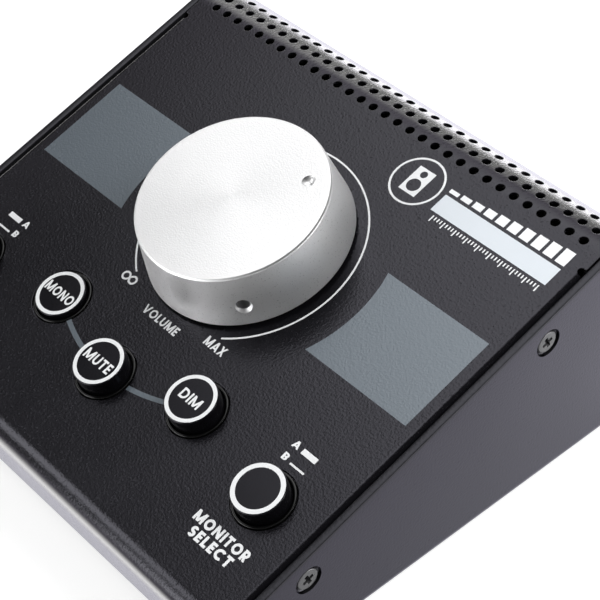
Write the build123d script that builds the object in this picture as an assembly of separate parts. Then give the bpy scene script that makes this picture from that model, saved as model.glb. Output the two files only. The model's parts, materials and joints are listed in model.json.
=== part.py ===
from build123d import *

import os
from math import cos, radians, sin

# Desktop studio monitor controller: a wedge-shaped steel case with a volume knob, five push
# switches and a row of jack sockets at the back.
#
# Row frame: X to the right, Y to the back, Z up, millimetres. The origin is on the table under the
# middle of the object. Panel frame: x to the right, y up the slope, z straight out of the panel.

# Case
CASE_WIDTH = 135.0
TRAY_SHEET = 2.0
COVER_SHEET = 1.2
SIDE_GAP = 0.2
PANEL_TILT = 17.0
PANEL_LIFT = 38.0            # panel origin above the tray's underside
PANEL_FRONT = -63.8          # front face, measured down the slope
CASE_REAR = 62.5             # rear face, level distance from the panel origin
FRONT_BEND = 5.0
REAR_BEND = 13.4
SIDE_BEND = 1.0
TRAY_BEND = 2.4
FLANGE_DEPTH = 14.0
FLANGE_ENDS = (-57.0, 43.0)
RELIEF_RADIUS = 0.8
RELIEF_DEPTH = 1.5
FLANGE_CORNER = 2.0

# Feet
FOOT_HEIGHT = 3.5
FOOT_RADIUS = 6.5
FOOT_SPAN_X = 106.0
FOOT_LINES = (-44.0, 50.0)   # level distances from the panel origin
FOOT_SEAT = 1.2               # rubber left under the screw head
FOOT_WELL = 0.4               # how much wider the well is than the screw head

# Vents
VENT_COLUMNS = 31
VENT_PITCH = 3.98
VENT_ROWS = 3
VENT_FIRST_ANGLE = 4.8
VENT_ROW_ANGLE = 17.1
VENT_RADIUS = 1.05

# Volume control
KNOB_UP = 6.35
KNOB_BASE_RADIUS = 23.9
KNOB_TOP_RADIUS = 22.0
KNOB_GAP = 1.0
KNOB_TOP = 14.85
KNOB_EDGE = 0.35
KNOB_WELL_RADIUS = 9.0       # hollow over the bushing nut
KNOB_HUB = (11.5, 12.0)      # hub radius at the mouth and at the groove's roof
KNOB_SKIRT = (20.5, 19.5)    # inside of the skirt, at the same two levels
KNOB_GROOVE_TOP = 9.0
POINTER_TURN = 41.5          # clockwise from straight up the slope
POINTER_RADIUS = 16.9
POINTER_DIMPLE = 1.5
DIMPLE_LIP = 0.25
DIMPLE_CONE = 0.9
SHAFT_RADIUS = 3.0
SHAFT_TOP = 12.0
SHAFT_FLAT = 2.4
SHAFT_CHAMFER = 0.5
CORE_RADIUS = 1.5            # thinner part of the shaft, through the gangs
RUNNING_GAP = 0.05
KNOB_FIT_GAP = 0.02
BUSHING_RADIUS = 4.5
BUSHING_TOP = 4.4
POT_WIDTH = 17.0
POT_HEIGHT = 20.0
GANG_COUNT = 4
GANG_THICKNESS = 5.0
GANG_PITCH = 6.0
GANG_CORNER = 3.0
TIE_RADIUS = 0.8
TIE_HOLE = 0.9
TIE_HEAD = (1.6, 0.8)        # head radius and height
TIE_INSET = 2.8
POT_PLATE = 1.2
POT_SPACER_RADIUS = 6.5
POT_LUG_RADIUS = 1.0
POT_LUG_X = 1.5 - POT_WIDTH / 2
POT_NUT = (12.0, 2.0)        # across the flats and thickness
POT_WASHER_RADIUS = 6.6
POT_FRONT = 3.2              # front plate and its spacer, behind the panel sheet
GRUB_RADIUS = 1.5
GRUB_LEVEL = 6.6
GRUB_LENGTH = 6.0
GRUB_SOCKET = (1.5, 2.0)     # across the flats and depth
GRUB_MOUTH = 0.8             # how much wider the countersink is than the screw

# Push switches: place on the panel (right, up the slope) and how far the cap is latched down
SWITCHES = {
    "mono": (-23.7, -30.7, 2.7),
    "mute": (0.0, -37.2, 0.0),
    "dim": (23.7, -30.7, 0.0),
    "source": (-50.7, -35.9, 0.0),
    "monitor": (50.7, -35.9, 0.0),
}
CAP_RADIUS = 5.95
CAP_PROUD = 4.1
CAP_ROUND = 0.3
CAP_WALL = 1.1
CAP_FLANGE_RADIUS = 6.9
CAP_FLANGE = 0.6
CAP_REST_GAP = 0.3           # cap flange below the collar when the switch is out
CAP_ROOF = 1.5
SLEEVE_RADIUS = 2.6
COLLAR_HOLE = 7.15
COLLAR_OUTER = 6.85
COLLAR_INNER = 6.25
COLLAR_PROUD = 0.15
COLLAR_BOTTOM = -3.2
COLLAR_FLANGE = 8.4
COLLAR_ROUND = 0.25
PRESS_TRAVEL = 3.2
SWITCH_SIZE = 8.5
SWITCH_TOP = -7.7
SWITCH_HEIGHT = 7.5
PLUNGER_SIZE = 3.0
PLUNGER_TOP = -0.6
PLUNGER_BOTTOM = -11.2
PLUNGER_PLAY = 0.15
SWITCH_PIN_ROW = 2.5
SWITCH_PIN_STEP = 2.0

# Boards
BOARD = 1.6
CONTROL_BOARD_TOP = SWITCH_TOP - SWITCH_HEIGHT
CONTROL_BOARD_WIDTH = 116.0
CONTROL_BOARD_REACH = (-47.0, 21.0)
STANDOFFS = [(38, 12), (-38, 12), (38, -20), (-38, -20), (12, -44), (-12, -44)]
STANDOFF_FLATS = 5.0
PIN_RADIUS = 0.3
PIN_HOLE = 0.45
PIN_TAIL = 1.4
PIN_CONE = 0.8
TAG = (0.8, 0.5)             # width and thickness of a potentiometer tag
TAG_SPACING = 4.0
TAG_REACH = 3.0
TAG_REACH_STEP = 1.2
RESISTOR = (1.1, 6.0, 9.0)   # body radius, body length, lead spacing

# Ribbon link between the two boards
HEADER = (22.0, 5.0, 6.0)
HEADER_SHIFT = 22.0
HEADER_SLOT = 3.0
HEADER_SETBACK = 5.0
RIBBON = 0.5
RIBBON_MARGIN = 1.5

# Jack sockets, counted across the rear face
JACK_COUNT = 8
JACK_PITCH = 15.0
JACK_BORE = 3.25
JACK_LEVEL = 16.0            # jack axis above the tray's underside
JACK_BODY = (14.4, 27.0, 14.4)
JACK_NOSE_RADIUS = 4.6
JACK_PROUD = 3.2
JACK_END_WALL = 1.0
JACK_NUT_FLATS = 12.4
JACK_NUT = 2.0
WASHER = 0.5
JACK_BODY_CORNER = 0.8
JACK_BOARD_FRONT = 24.0      # level distance from the panel origin
JACK_BOARD_WIDTH = 122.0
JACK_BOARD_FIXING = 4.0      # screws and header, behind the board's front edge
JACK_PIN_LINES = (6.0, 14.0, 22.0)
JACK_PIN_SIDE = 5.0
JACK_POSTS_X = (-57.0, 0.0, 57.0)
JACK_POST_RADIUS = 3.0

# Fasteners
SIDE_SCREW_PLACES = [(27.7, -6.2), (-41.2, -6.2)]
SIDE_SINK_RADIUS = 3.3
SIDE_HEAD_RADIUS = 2.8
SIDE_HEAD_DOME = (0.3, 0.15)  # how far the head's crown is set in, and its two steps up
SIDE_SCREW_LENGTH = 9.0
CLINCH_RADIUS = 2.7
CLINCH_HEAD = (3.4, 2.2)      # radius and thickness inside the flange
M3 = 1.5
M3_CLEAR = 1.7
M3_FLATS = 5.5
M3_NUT = 2.4
M3_HEAD_RADIUS = 2.8
M3_HEAD = 2.0
THREAD_GAP = 0.05
CROSS = (3.0, 0.75, 1.1)

SLOPE = radians(PANEL_TILT)
UNDERSIDE = FOOT_HEIGHT
COVER_HALF = CASE_WIDTH / 2 - TRAY_SHEET - SIDE_GAP
# The front bend's foremost point and the jack noses set the object's middle, front to back.
FOREMOST = (PANEL_FRONT + FRONT_BEND) * cos(SLOPE) + FRONT_BEND * sin(SLOPE) - FRONT_BEND
PANEL_Y = -(FOREMOST + CASE_REAR + JACK_PROUD) / 2
PANEL_Z = UNDERSIDE + PANEL_LIFT
REAR_Y = PANEL_Y + CASE_REAR
TRAY_FLOOR = UNDERSIDE + TRAY_SHEET
PANEL = Location((0, PANEL_Y, PANEL_Z), (PANEL_TILT, 0, 0))
CONTROL_BOARD_BACK = CONTROL_BOARD_TOP - BOARD
BEND_START = (CASE_REAR - REAR_BEND - REAR_BEND * sin(SLOPE)) / cos(SLOPE)


# ---------------------------------------------------------------- shared shapes

def up_slope(along, out):
    """Row-frame (y, z) of a point along the slope and out of the panel."""
    y = PANEL_Y + along * cos(SLOPE) - out * sin(SLOPE)
    z = PANEL_Z + along * sin(SLOPE) + out * cos(SLOPE)
    return y, z


def turned(*profile):
    """Solid turned about local Z from (radius, height) corners."""
    outline = Polyline(*[(radius, 0, height) for radius, height in profile], close=True)
    return revolve(make_face(outline), Axis.Z)


def rod(radius, bottom, top):
    """Round bar on local Z between two heights."""
    return Pos(0, 0, (bottom + top) / 2) * Cylinder(radius, top - bottom)


def block(size_x, size_y, bottom, top):
    """Rectangular block on local Z between two heights."""
    return Pos(0, 0, (bottom + top) / 2) * Box(size_x, size_y, top - bottom)


def hexagon(flats, bottom, top):
    """Six-sided bar on local Z, measured across its flats."""
    face = RegularPolygon(flats / 2, 6, major_radius=False)
    return Pos(0, 0, bottom) * extrude(face, top - bottom)


def group(solids):
    """Separate solids kept together in one node."""
    return Compound(children=[solid for piece in solids for solid in piece.solids()])


def on_panel(x, y, shape):
    """A shape made on local Z, stood on the panel at (x, y)."""
    return PANEL * Pos(x, y, 0) * shape


def rim(part, top):
    """Round edges of a turned part at its highest or lowest level."""
    return part.edges().filter_by(GeomType.CIRCLE).group_by(Axis.Z)[-1 if top else 0]


def cross_recess(depth_at):
    """Two crossed slots that a cross-head driver fits, cut down from a height."""
    length, width, depth = CROSS
    slot = block(length, width, depth_at - depth, depth_at + 1)
    return slot + Rot(0, 0, 90) * slot


def pan_screw(length):
    """Cross-head pan screw: underside of the head at height 0, shank pointing down."""
    head = rod(M3_HEAD_RADIUS, 0, M3_HEAD)
    head = fillet(rim(head, True), M3_HEAD * 0.4)
    return head + rod(M3, -length, 0) - cross_recess(M3_HEAD)


def nut(flats, bore, thickness):
    """Hexagonal nut with its seat at height 0."""
    ring = hexagon(flats, 0, thickness) - rod(bore, -1, thickness + 1)
    return ring & turned((0, 0), (flats / 2, 0), (flats * 0.58, thickness * 0.2),
                         (flats * 0.58, thickness * 0.8), (flats / 2, thickness), (0, thickness))


def soldered_pin(bottom, top):
    """Pin through a board between its two faces, with a solder cone on the lower face."""
    tip = bottom - PIN_TAIL
    return turned((0, top), (PIN_RADIUS, top), (PIN_RADIUS, bottom), (PIN_CONE, bottom),
                  (PIN_RADIUS, tip), (0, tip))


def case_section(inset, floor):
    """Side outline of the case, pulled in by inset and cut off level at floor."""
    front = PANEL_FRONT + inset
    rear_y = REAR_Y - inset
    rear = (rear_y - PANEL_Y - inset * sin(SLOPE)) / cos(SLOPE)
    front_out = (floor - PANEL_Z - front * sin(SLOPE)) / cos(SLOPE)
    corners = [up_slope(front, -inset), up_slope(rear, -inset), (rear_y, floor), up_slope(front, front_out)]
    face = make_face(Polyline(*corners, close=True))
    by_height = face.vertices().sort_by(Axis.Y)
    face = fillet(by_height[-1], REAR_BEND - inset)
    front_corner = face.vertices().sort_by_distance(up_slope(front, -inset))[0]
    return Plane.YZ * fillet(front_corner, FRONT_BEND - inset)


def side_screw_frames():
    """Frames on the outer faces of the side plates, local Z pointing away from the case."""
    for side in (-1, 1):
        for along, out in SIDE_SCREW_PLACES:
            y, z = up_slope(along, out)
            yield Location((side * CASE_WIDTH / 2, y, z), (0, 90 * side, 0))


def foot_frames():
    """Frames on the tray's underside at each foot, local Z pointing down."""
    for x in (-FOOT_SPAN_X / 2, FOOT_SPAN_X / 2):
        for line in FOOT_LINES:
            yield Location((x, PANEL_Y + line, UNDERSIDE), (180, 0, 0))


def jack_frames():
    """Frames on the rear face at each jack socket, local Z pointing out of the socket."""
    for index in range(JACK_COUNT):
        x = (index - (JACK_COUNT - 1) / 2) * JACK_PITCH
        yield Location((x, REAR_Y, UNDERSIDE + JACK_LEVEL), (-90, 0, 0))


# ---------------------------------------------------------------- case

def vent_holes():
    """Rows of round holes square to the rear bend."""
    drill = rod(VENT_RADIUS, REAR_BEND - 2 * COVER_SHEET, REAR_BEND + 1)
    holes = []
    for row in range(VENT_ROWS):
        lean = Rot(-(VENT_FIRST_ANGLE + row * VENT_ROW_ANGLE), 0, 0)
        for column in range(VENT_COLUMNS):
            x = (column - (VENT_COLUMNS - 1) / 2) * VENT_PITCH
            holes.append(PANEL * Pos(x, BEND_START, -REAR_BEND) * lean * drill)
    return holes


def cover_flange(side):
    """Side flange turned down from the top of the cover, square to the panel."""
    front, rear = FLANGE_ENDS
    length = rear - front - 2 * RELIEF_RADIUS
    plate = Box(COVER_SHEET, length, FLANGE_DEPTH)
    corners = plate.edges().filter_by(Axis.X).group_by(Axis.Z)[0]
    plate = fillet(corners, FLANGE_CORNER)
    place = Pos(side * (COVER_HALF - COVER_SHEET / 2), (front + rear) / 2, -FLANGE_DEPTH / 2)
    return PANEL * place * plate


def relief_notches():
    """Small round-ended notches where each side flange stops."""
    notches = []
    for side in (-1, 1):
        for along in FLANGE_ENDS:
            inner = side * (COVER_HALF - RELIEF_DEPTH + RELIEF_RADIUS)
            inward = along + RELIEF_RADIUS if along < 0 else along - RELIEF_RADIUS
            notches.append(on_panel(inner, inward, rod(RELIEF_RADIUS, -3, 1)))
            notches.append(on_panel(inner + side, inward, block(2, 2 * RELIEF_RADIUS, -3, 1)))
    return notches


def top_cover():
    """Folded sheet: front face, panel, rear bend, rear face and two side flanges."""
    shell = extrude(case_section(0, UNDERSIDE), COVER_HALF, both=True)
    shell -= extrude(case_section(COVER_SHEET, UNDERSIDE - 1), COVER_HALF + 1, both=True)
    shell = shell + cover_flange(-1) + cover_flange(1)
    shell = shell - relief_notches()
    flange_middle = sum(FLANGE_ENDS) / 2
    for side in (-1, 1):
        y, z = up_slope(flange_middle, 0)
        edge = shell.edges().filter_by(GeomType.LINE).sort_by_distance((side * COVER_HALF, y, z))[0]
        shell = fillet(edge, SIDE_BEND)
    holes = [on_panel(x, y, rod(COLLAR_HOLE, -3, 1)) for x, y, _ in SWITCHES.values()]
    holes.append(on_panel(0, KNOB_UP, rod(BUSHING_RADIUS + 0.1, -3, 1)))
    holes.append(on_panel(POT_LUG_X, KNOB_UP, rod(POT_LUG_RADIUS + 0.1, -3, 1)))
    holes += [frame * rod(JACK_NOSE_RADIUS + 0.2, -3, 1) for frame in jack_frames()]
    holes += [frame * rod(CLINCH_RADIUS, -5, 1) for frame in side_screw_frames()]
    return shell - holes - vent_holes()


def base_tray():
    """Thick U-shaped tray: a bottom and two sides that follow the outline of the cover."""
    outline = case_section(0, UNDERSIDE)
    solid = extrude(outline, CASE_WIDTH / 2, both=True)
    inside = extrude(case_section(-1, TRAY_FLOOR), CASE_WIDTH / 2 - TRAY_SHEET, both=True)
    tray = solid - inside
    ends = extrude(case_section(COVER_SHEET + SIDE_GAP, UNDERSIDE), CASE_WIDTH / 2 - TRAY_SHEET, both=True)
    bottom = extrude(outline, CASE_WIDTH / 2 - TRAY_SHEET, both=True) - ends
    tray -= bottom
    edges = tray.edges().filter_by(Axis.Y).group_by(Axis.Z)[0]
    outer = [edge for edge in edges if abs(edge.center().X) > CASE_WIDTH / 2 - 0.1]
    tray = fillet(outer, TRAY_BEND)
    sink = turned((0, -3), (M3_CLEAR, -3), (M3_CLEAR, M3_CLEAR - SIDE_SINK_RADIUS), (SIDE_SINK_RADIUS, 0),
                  (SIDE_SINK_RADIUS, 1), (0, 1))
    holes = [frame * sink for frame in side_screw_frames()]
    holes += [frame * rod(M3_CLEAR, -3, 1) for frame in foot_frames()]
    return tray - holes


def cover_screws():
    """Countersunk cross-head screws, sunk just below the side plates."""
    sunk = SIDE_SINK_RADIUS - SIDE_HEAD_RADIUS
    inset, step = SIDE_HEAD_DOME
    crown = 2 * step - sunk
    screw = turned((0, -SIDE_SCREW_LENGTH), (M3, -SIDE_SCREW_LENGTH), (M3, M3 - SIDE_HEAD_RADIUS - sunk),
                   (SIDE_HEAD_RADIUS, -sunk), (SIDE_HEAD_RADIUS - inset, step - sunk), (0, crown))
    screw -= Rot(0, 0, 20) * cross_recess(crown)
    return group(frame * screw for frame in side_screw_frames())


def clinch_nuts():
    """Round nuts pressed into the cover's flanges from inside."""
    outer_face = -(TRAY_SHEET + SIDE_GAP)
    inner_face = outer_face - COVER_SHEET
    head, thickness = CLINCH_HEAD
    thread = M3 + THREAD_GAP
    ring = turned((thread, outer_face), (CLINCH_RADIUS, outer_face), (CLINCH_RADIUS, inner_face),
                  (head, inner_face), (head, inner_face - thickness), (thread, inner_face - thickness))
    return group(frame * ring for frame in side_screw_frames())


def rubber_feet():
    """Moulded feet with a sunk seat for the screw head."""
    well = M3_HEAD_RADIUS + FOOT_WELL
    foot = turned((M3_CLEAR, 0), (FOOT_RADIUS, 0), (FOOT_RADIUS, 0.8), (FOOT_RADIUS - 0.8, FOOT_HEIGHT - 0.4),
                  (FOOT_RADIUS - 1.2, FOOT_HEIGHT), (well, FOOT_HEIGHT), (well, FOOT_SEAT),
                  (M3_CLEAR, FOOT_SEAT))
    return group(frame * foot for frame in foot_frames())


def foot_screws():
    """Pan screws that hold the feet, heads clear of the table."""
    return group(frame * Pos(0, 0, FOOT_SEAT) * pan_screw(6.5) for frame in foot_frames())


def foot_nuts():
    """Nuts on the tray floor above each foot."""
    seat = Pos(0, 0, -TRAY_SHEET) * Rot(180, 0, 0)
    return group(frame * seat * nut(M3_FLATS, M3 + THREAD_GAP, M3_NUT) for frame in foot_frames())


# ---------------------------------------------------------------- volume control

def volume_knob():
    """Solid turned knob: tapered skirt, bore for the shaft, hollows underneath."""
    bore = SHAFT_RADIUS + KNOB_FIT_GAP
    bore_end = SHAFT_TOP + 0.2
    hub_start = BUSHING_TOP + 1.0
    body = turned((bore, hub_start), (KNOB_WELL_RADIUS, hub_start), (KNOB_WELL_RADIUS, KNOB_GAP),
                  (KNOB_HUB[0], KNOB_GAP), (KNOB_HUB[1], KNOB_GROOVE_TOP),
                  (KNOB_SKIRT[1], KNOB_GROOVE_TOP), (KNOB_SKIRT[0], KNOB_GAP),
                  (KNOB_BASE_RADIUS, KNOB_GAP), (KNOB_TOP_RADIUS, KNOB_TOP),
                  (0, KNOB_TOP), (0, bore_end), (bore, bore_end))
    body = chamfer(rim(body, True), KNOB_EDGE)
    lip = KNOB_TOP - DIMPLE_LIP
    dimple = turned((0, lip - DIMPLE_CONE), (POINTER_DIMPLE, lip), (POINTER_DIMPLE, KNOB_TOP + 1),
                    (0, KNOB_TOP + 1))
    body -= Rot(0, 0, -POINTER_TURN) * Pos(0, POINTER_RADIUS, 0) * dimple
    hole = GRUB_RADIUS + THREAD_GAP
    mouth = GRUB_RADIUS + GRUB_MOUTH
    surface = KNOB_BASE_RADIUS - 0.4
    drill = turned((0, SHAFT_RADIUS - 1), (hole, SHAFT_RADIUS - 1), (hole, surface + hole - mouth),
                   (mouth, surface), (mouth, surface + 3), (0, surface + 3))
    body -= grub_frame() * drill
    return on_panel(0, KNOB_UP, body)


def grub_frame():
    """Frame on the knob's axis, local Z pointing out along the grub screw."""
    return Rot(0, 0, -POINTER_TURN - 90) * Pos(0, 0, GRUB_LEVEL) * Rot(-90, 0, 0)


def knob_set_screw():
    """Headless hex-socket screw that bears on the flat of the shaft."""
    screw = rod(GRUB_RADIUS, SHAFT_FLAT, SHAFT_FLAT + GRUB_LENGTH)
    flats, depth = GRUB_SOCKET
    screw -= hexagon(flats, SHAFT_FLAT + GRUB_LENGTH - depth, SHAFT_FLAT + GRUB_LENGTH + 1)
    return on_panel(0, KNOB_UP, grub_frame() * screw)


def volume_shaft():
    """Potentiometer shaft: round through the bushing, thinner through the gangs, flat at the top."""
    bottom = pot_gang_bottom(GANG_COUNT - 1) - 0.6
    shoulder = pot_gang_top(0) + 0.4
    shaft = turned((0, bottom), (CORE_RADIUS, bottom), (CORE_RADIUS, shoulder), (SHAFT_RADIUS, shoulder),
                   (SHAFT_RADIUS, SHAFT_TOP - SHAFT_CHAMFER), (SHAFT_RADIUS - SHAFT_CHAMFER, SHAFT_TOP),
                   (0, SHAFT_TOP))
    cut = block(3 * SHAFT_RADIUS, 4, BUSHING_TOP + 0.6, SHAFT_TOP + 1)
    flat = Rot(0, 0, -POINTER_TURN - 90) * Pos(0, SHAFT_FLAT + 2, 0) * cut
    return on_panel(0, KNOB_UP, shaft - flat)


def pot_gang_top(index):
    """Height of a gang's upper face."""
    return -COVER_SHEET - POT_FRONT - index * GANG_PITCH


def pot_gang_bottom(index):
    """Height of a gang's lower face."""
    return pot_gang_top(index) - GANG_THICKNESS


def pot_bushing():
    """Threaded bushing on a metal front plate, with a lug that stops it turning in the panel."""
    plate_top = -COVER_SHEET
    bushing = rod(BUSHING_RADIUS, plate_top - 1, BUSHING_TOP)
    bushing = chamfer(rim(bushing, True), 0.4)
    plate = block(POT_WIDTH, POT_WIDTH, plate_top - POT_PLATE, plate_top)
    spacer = rod(POT_SPACER_RADIUS, pot_gang_top(0), plate_top)
    lug = Pos(POT_LUG_X, 0, 0) * rod(POT_LUG_RADIUS, plate_top, -0.2)
    body = bushing + plate + spacer + lug
    body -= rod(SHAFT_RADIUS + RUNNING_GAP, pot_gang_top(0) - 1, BUSHING_TOP + 1)
    return on_panel(0, KNOB_UP, body)


def pot_gangs():
    """Stacked resistor cells, one for each balanced signal leg."""
    cells = []
    for index in range(GANG_COUNT):
        bottom, top = pot_gang_bottom(index), pot_gang_top(index)
        cell = block(POT_WIDTH, POT_HEIGHT, bottom, top)
        cell = fillet(cell.edges().filter_by(Axis.Z), GANG_CORNER)
        cell -= rod(CORE_RADIUS + RUNNING_GAP, bottom - 1, top + 1)
        for x, y in pot_rod_places():
            cell -= Pos(x, y, 0) * rod(TIE_HOLE, bottom - 1, top + 1)
        cells.append(on_panel(0, KNOB_UP, cell))
    return group(cells)


def pot_rod_places():
    """Two opposite corners of the gangs where the tie rods pass."""
    x = POT_WIDTH / 2 - TIE_INSET
    y = POT_HEIGHT / 2 - TIE_INSET
    return [(x, y), (-x, -y)]


def pot_tie_rods():
    """Rods that clamp the gangs to the front plate."""
    bottom = pot_gang_bottom(GANG_COUNT - 1)
    head_radius, head = TIE_HEAD
    tie = rod(TIE_RADIUS, bottom - head, -COVER_SHEET - POT_PLATE) + rod(head_radius, bottom - head, bottom)
    return group(on_panel(x, KNOB_UP + y, tie) for x, y in pot_rod_places())


def tag_reach(index):
    """How far a gang's tags stand out in front of it."""
    return TAG_REACH + TAG_REACH_STEP * index


def pot_terminals():
    """Three tags on each gang, each standing on a lead that reaches the control board."""
    width, thickness = TAG
    tags = []
    for index in range(GANG_COUNT):
        middle = (pot_gang_top(index) + pot_gang_bottom(index)) / 2
        low, high = middle - thickness / 2, middle + thickness / 2
        reach = tag_reach(index)
        tag = Pos(0, -(POT_HEIGHT + reach) / 2, 0) * block(width, reach, low, high)
        if middle > CONTROL_BOARD_TOP:
            lead = rod(PIN_RADIUS, CONTROL_BOARD_BACK - PIN_TAIL, high)
        else:
            lead = rod(PIN_RADIUS, low, CONTROL_BOARD_TOP + PIN_TAIL)
        terminal = tag + Pos(0, -POT_HEIGHT / 2 - reach, 0) * lead
        tags += [on_panel(x, KNOB_UP, terminal) for x in (-TAG_SPACING, 0, TAG_SPACING)]
    return group(tags)


def pot_nut():
    """Nut that clamps the bushing to the panel, hidden in the knob's hollow."""
    flats, thickness = POT_NUT
    return on_panel(0, KNOB_UP, Pos(0, 0, WASHER) * nut(flats, BUSHING_RADIUS + THREAD_GAP, thickness))


def pot_washer():
    """Plain washer under the bushing nut."""
    ring = rod(POT_WASHER_RADIUS, 0, WASHER) - rod(BUSHING_RADIUS + 0.1, -1, 1)
    return on_panel(0, KNOB_UP, ring)


# ---------------------------------------------------------------- push switches

def button_collars():
    """Moulded collars that line the panel holes and keep the caps upright."""
    under = -COVER_SHEET
    collar = turned((COLLAR_INNER, COLLAR_BOTTOM), (COLLAR_FLANGE, COLLAR_BOTTOM), (COLLAR_FLANGE, under),
                    (COLLAR_OUTER, under), (COLLAR_OUTER, COLLAR_PROUD), (COLLAR_INNER, COLLAR_PROUD))
    collar = fillet(rim(collar, True), COLLAR_ROUND)
    return group(on_panel(x, y, collar) for x, y, _ in SWITCHES.values())


def button_cap(name):
    """Hollow round cap with a flange that stops it against the collar."""
    x, y, latched = SWITCHES[name]
    flange_top = COLLAR_BOTTOM - CAP_REST_GAP
    flange_bottom = flange_top - CAP_FLANGE
    roof = CAP_PROUD - CAP_ROOF
    inner = CAP_RADIUS - CAP_WALL
    cap = turned((0, PLUNGER_TOP), (SLEEVE_RADIUS, PLUNGER_TOP), (SLEEVE_RADIUS, roof), (inner, roof),
                 (inner, flange_bottom), (CAP_FLANGE_RADIUS, flange_bottom), (CAP_FLANGE_RADIUS, flange_top),
                 (CAP_RADIUS, flange_top), (CAP_RADIUS, CAP_PROUD), (0, CAP_PROUD))
    cap = fillet(rim(cap, True), CAP_ROUND)
    sleeve = rod(SLEEVE_RADIUS, flange_bottom, PLUNGER_TOP + 0.1)
    cap += sleeve - block(PLUNGER_SIZE, PLUNGER_SIZE, flange_bottom - 1, PLUNGER_TOP)
    return on_panel(x, y, Pos(0, 0, -latched) * cap)


def button_plunger(name):
    """Square bar that carries the cap and works the contacts."""
    x, y, latched = SWITCHES[name]
    bar = block(PLUNGER_SIZE, PLUNGER_SIZE, PLUNGER_BOTTOM, PLUNGER_TOP)
    bar = chamfer(bar.edges().filter_by(Axis.Z), 0.2)
    return on_panel(x, y, Pos(0, 0, -latched) * bar)


def switch_bodies():
    """Square push-switch housings with a guide for the plunger."""
    guide = PLUNGER_SIZE + 2 * PLUNGER_PLAY
    body = block(SWITCH_SIZE, SWITCH_SIZE, CONTROL_BOARD_TOP, SWITCH_TOP)
    body = chamfer(body.edges().filter_by(Axis.Z), 0.5)
    body -= block(guide, guide, PLUNGER_BOTTOM - PRESS_TRAVEL - 0.3, SWITCH_TOP + 1)
    return group(on_panel(x, y, body) for x, y, _ in SWITCHES.values())


def switch_pin_places():
    """Panel places of every switch pin, six to a switch."""
    for x, y, _ in SWITCHES.values():
        for row in (-SWITCH_PIN_ROW, SWITCH_PIN_ROW):
            for step in (-SWITCH_PIN_STEP, 0, SWITCH_PIN_STEP):
                yield x + row, y + step


def switch_terminals():
    """Pins through the control board with their solder cones."""
    pin = soldered_pin(CONTROL_BOARD_BACK, CONTROL_BOARD_TOP)
    return group(on_panel(x, y, pin) for x, y in switch_pin_places())


# ---------------------------------------------------------------- control board

def control_board():
    """Circuit board under the panel, open around the potentiometer."""
    front, rear = CONTROL_BOARD_REACH
    bottom, top = CONTROL_BOARD_BACK, CONTROL_BOARD_TOP
    board = Pos(0, (front + rear) / 2, 0) * block(CONTROL_BOARD_WIDTH, rear - front, bottom, top)
    board -= Pos(0, KNOB_UP, 0) * block(POT_WIDTH + 2, POT_HEIGHT + 2, bottom - 1, top + 1)
    pin_places = list(switch_pin_places())
    for index in range(GANG_COUNT):
        foot_y = KNOB_UP - POT_HEIGHT / 2 - tag_reach(index)
        pin_places += [(x, foot_y) for x in (-TAG_SPACING, 0, TAG_SPACING)]
    holes = [Pos(x, y, 0) * rod(PIN_HOLE, -30, 0) for x, y in pin_places]
    holes += [Pos(x, y, 0) * rod(M3_CLEAR, -30, 0) for x, y in STANDOFFS]
    return PANEL * (board - holes)


def board_standoffs():
    """Hexagonal studs clinched to the back of the panel."""
    stud = hexagon(STANDOFF_FLATS, CONTROL_BOARD_TOP, -COVER_SHEET)
    stud -= rod(M3 + THREAD_GAP, CONTROL_BOARD_TOP - 1, CONTROL_BOARD_TOP + 8)
    return group(on_panel(x, y, stud) for x, y in STANDOFFS)


def board_screws():
    """Pan screws that hold the control board to its studs."""
    turn_over = Pos(0, 0, CONTROL_BOARD_BACK) * Rot(180, 0, 0)
    return group(on_panel(x, y, turn_over * pan_screw(6.0)) for x, y in STANDOFFS)


def pad_resistors():
    """Small axial resistors of the dim attenuator, lying on the control board."""
    body_radius, body_length, spacing = RESISTOR
    body = Rot(0, 90, 0) * Cylinder(body_radius, body_length)
    body = fillet(body.edges().filter_by(GeomType.CIRCLE), body_radius * 0.45)
    wire = Rot(0, 90, 0) * Cylinder(PIN_RADIUS, spacing)
    leg = rod(PIN_RADIUS, -body_radius, PIN_RADIUS)
    part = body + wire + Pos(-spacing / 2, 0, 0) * leg + Pos(spacing / 2, 0, 0) * leg
    level = CONTROL_BOARD_TOP + body_radius
    places = [(side * 24.0, -14.0 + 4.0 * step) for side in (-1, 1) for step in range(4)]
    return group(on_panel(x, y, Pos(0, 0, level) * part) for x, y in places)


# ---------------------------------------------------------------- jack sockets

def jack_bodies():
    """Moulded jack sockets: a box with a threaded nose and one long bore."""
    width, length, height = JACK_BODY
    back = -COVER_SHEET - length
    body = block(width, height, back, -COVER_SHEET)
    body = chamfer(body.edges().filter_by(Axis.Z), JACK_BODY_CORNER)
    nose = chamfer(rim(rod(JACK_NOSE_RADIUS, -COVER_SHEET - 1, JACK_PROUD), True), 0.4)
    body = body + nose - rod(JACK_BORE, back + JACK_END_WALL, JACK_PROUD + 1)
    return group(frame * body for frame in jack_frames())


def jack_nuts():
    """Nuts that clamp the sockets to the rear face."""
    ring = Pos(0, 0, WASHER) * nut(JACK_NUT_FLATS, JACK_NOSE_RADIUS + THREAD_GAP, JACK_NUT)
    return group(frame * Rot(0, 0, 30) * ring for frame in jack_frames())


def jack_washers():
    """Plain washers under the socket nuts."""
    ring = rod(6.9, 0, WASHER) - rod(JACK_NOSE_RADIUS + 0.2, -1, 1)
    return group(frame * ring for frame in jack_frames())


def jack_board_levels():
    """Lower and upper faces of the jack board."""
    top = UNDERSIDE + JACK_LEVEL - JACK_BODY[2] / 2
    return top - BOARD, top


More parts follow.
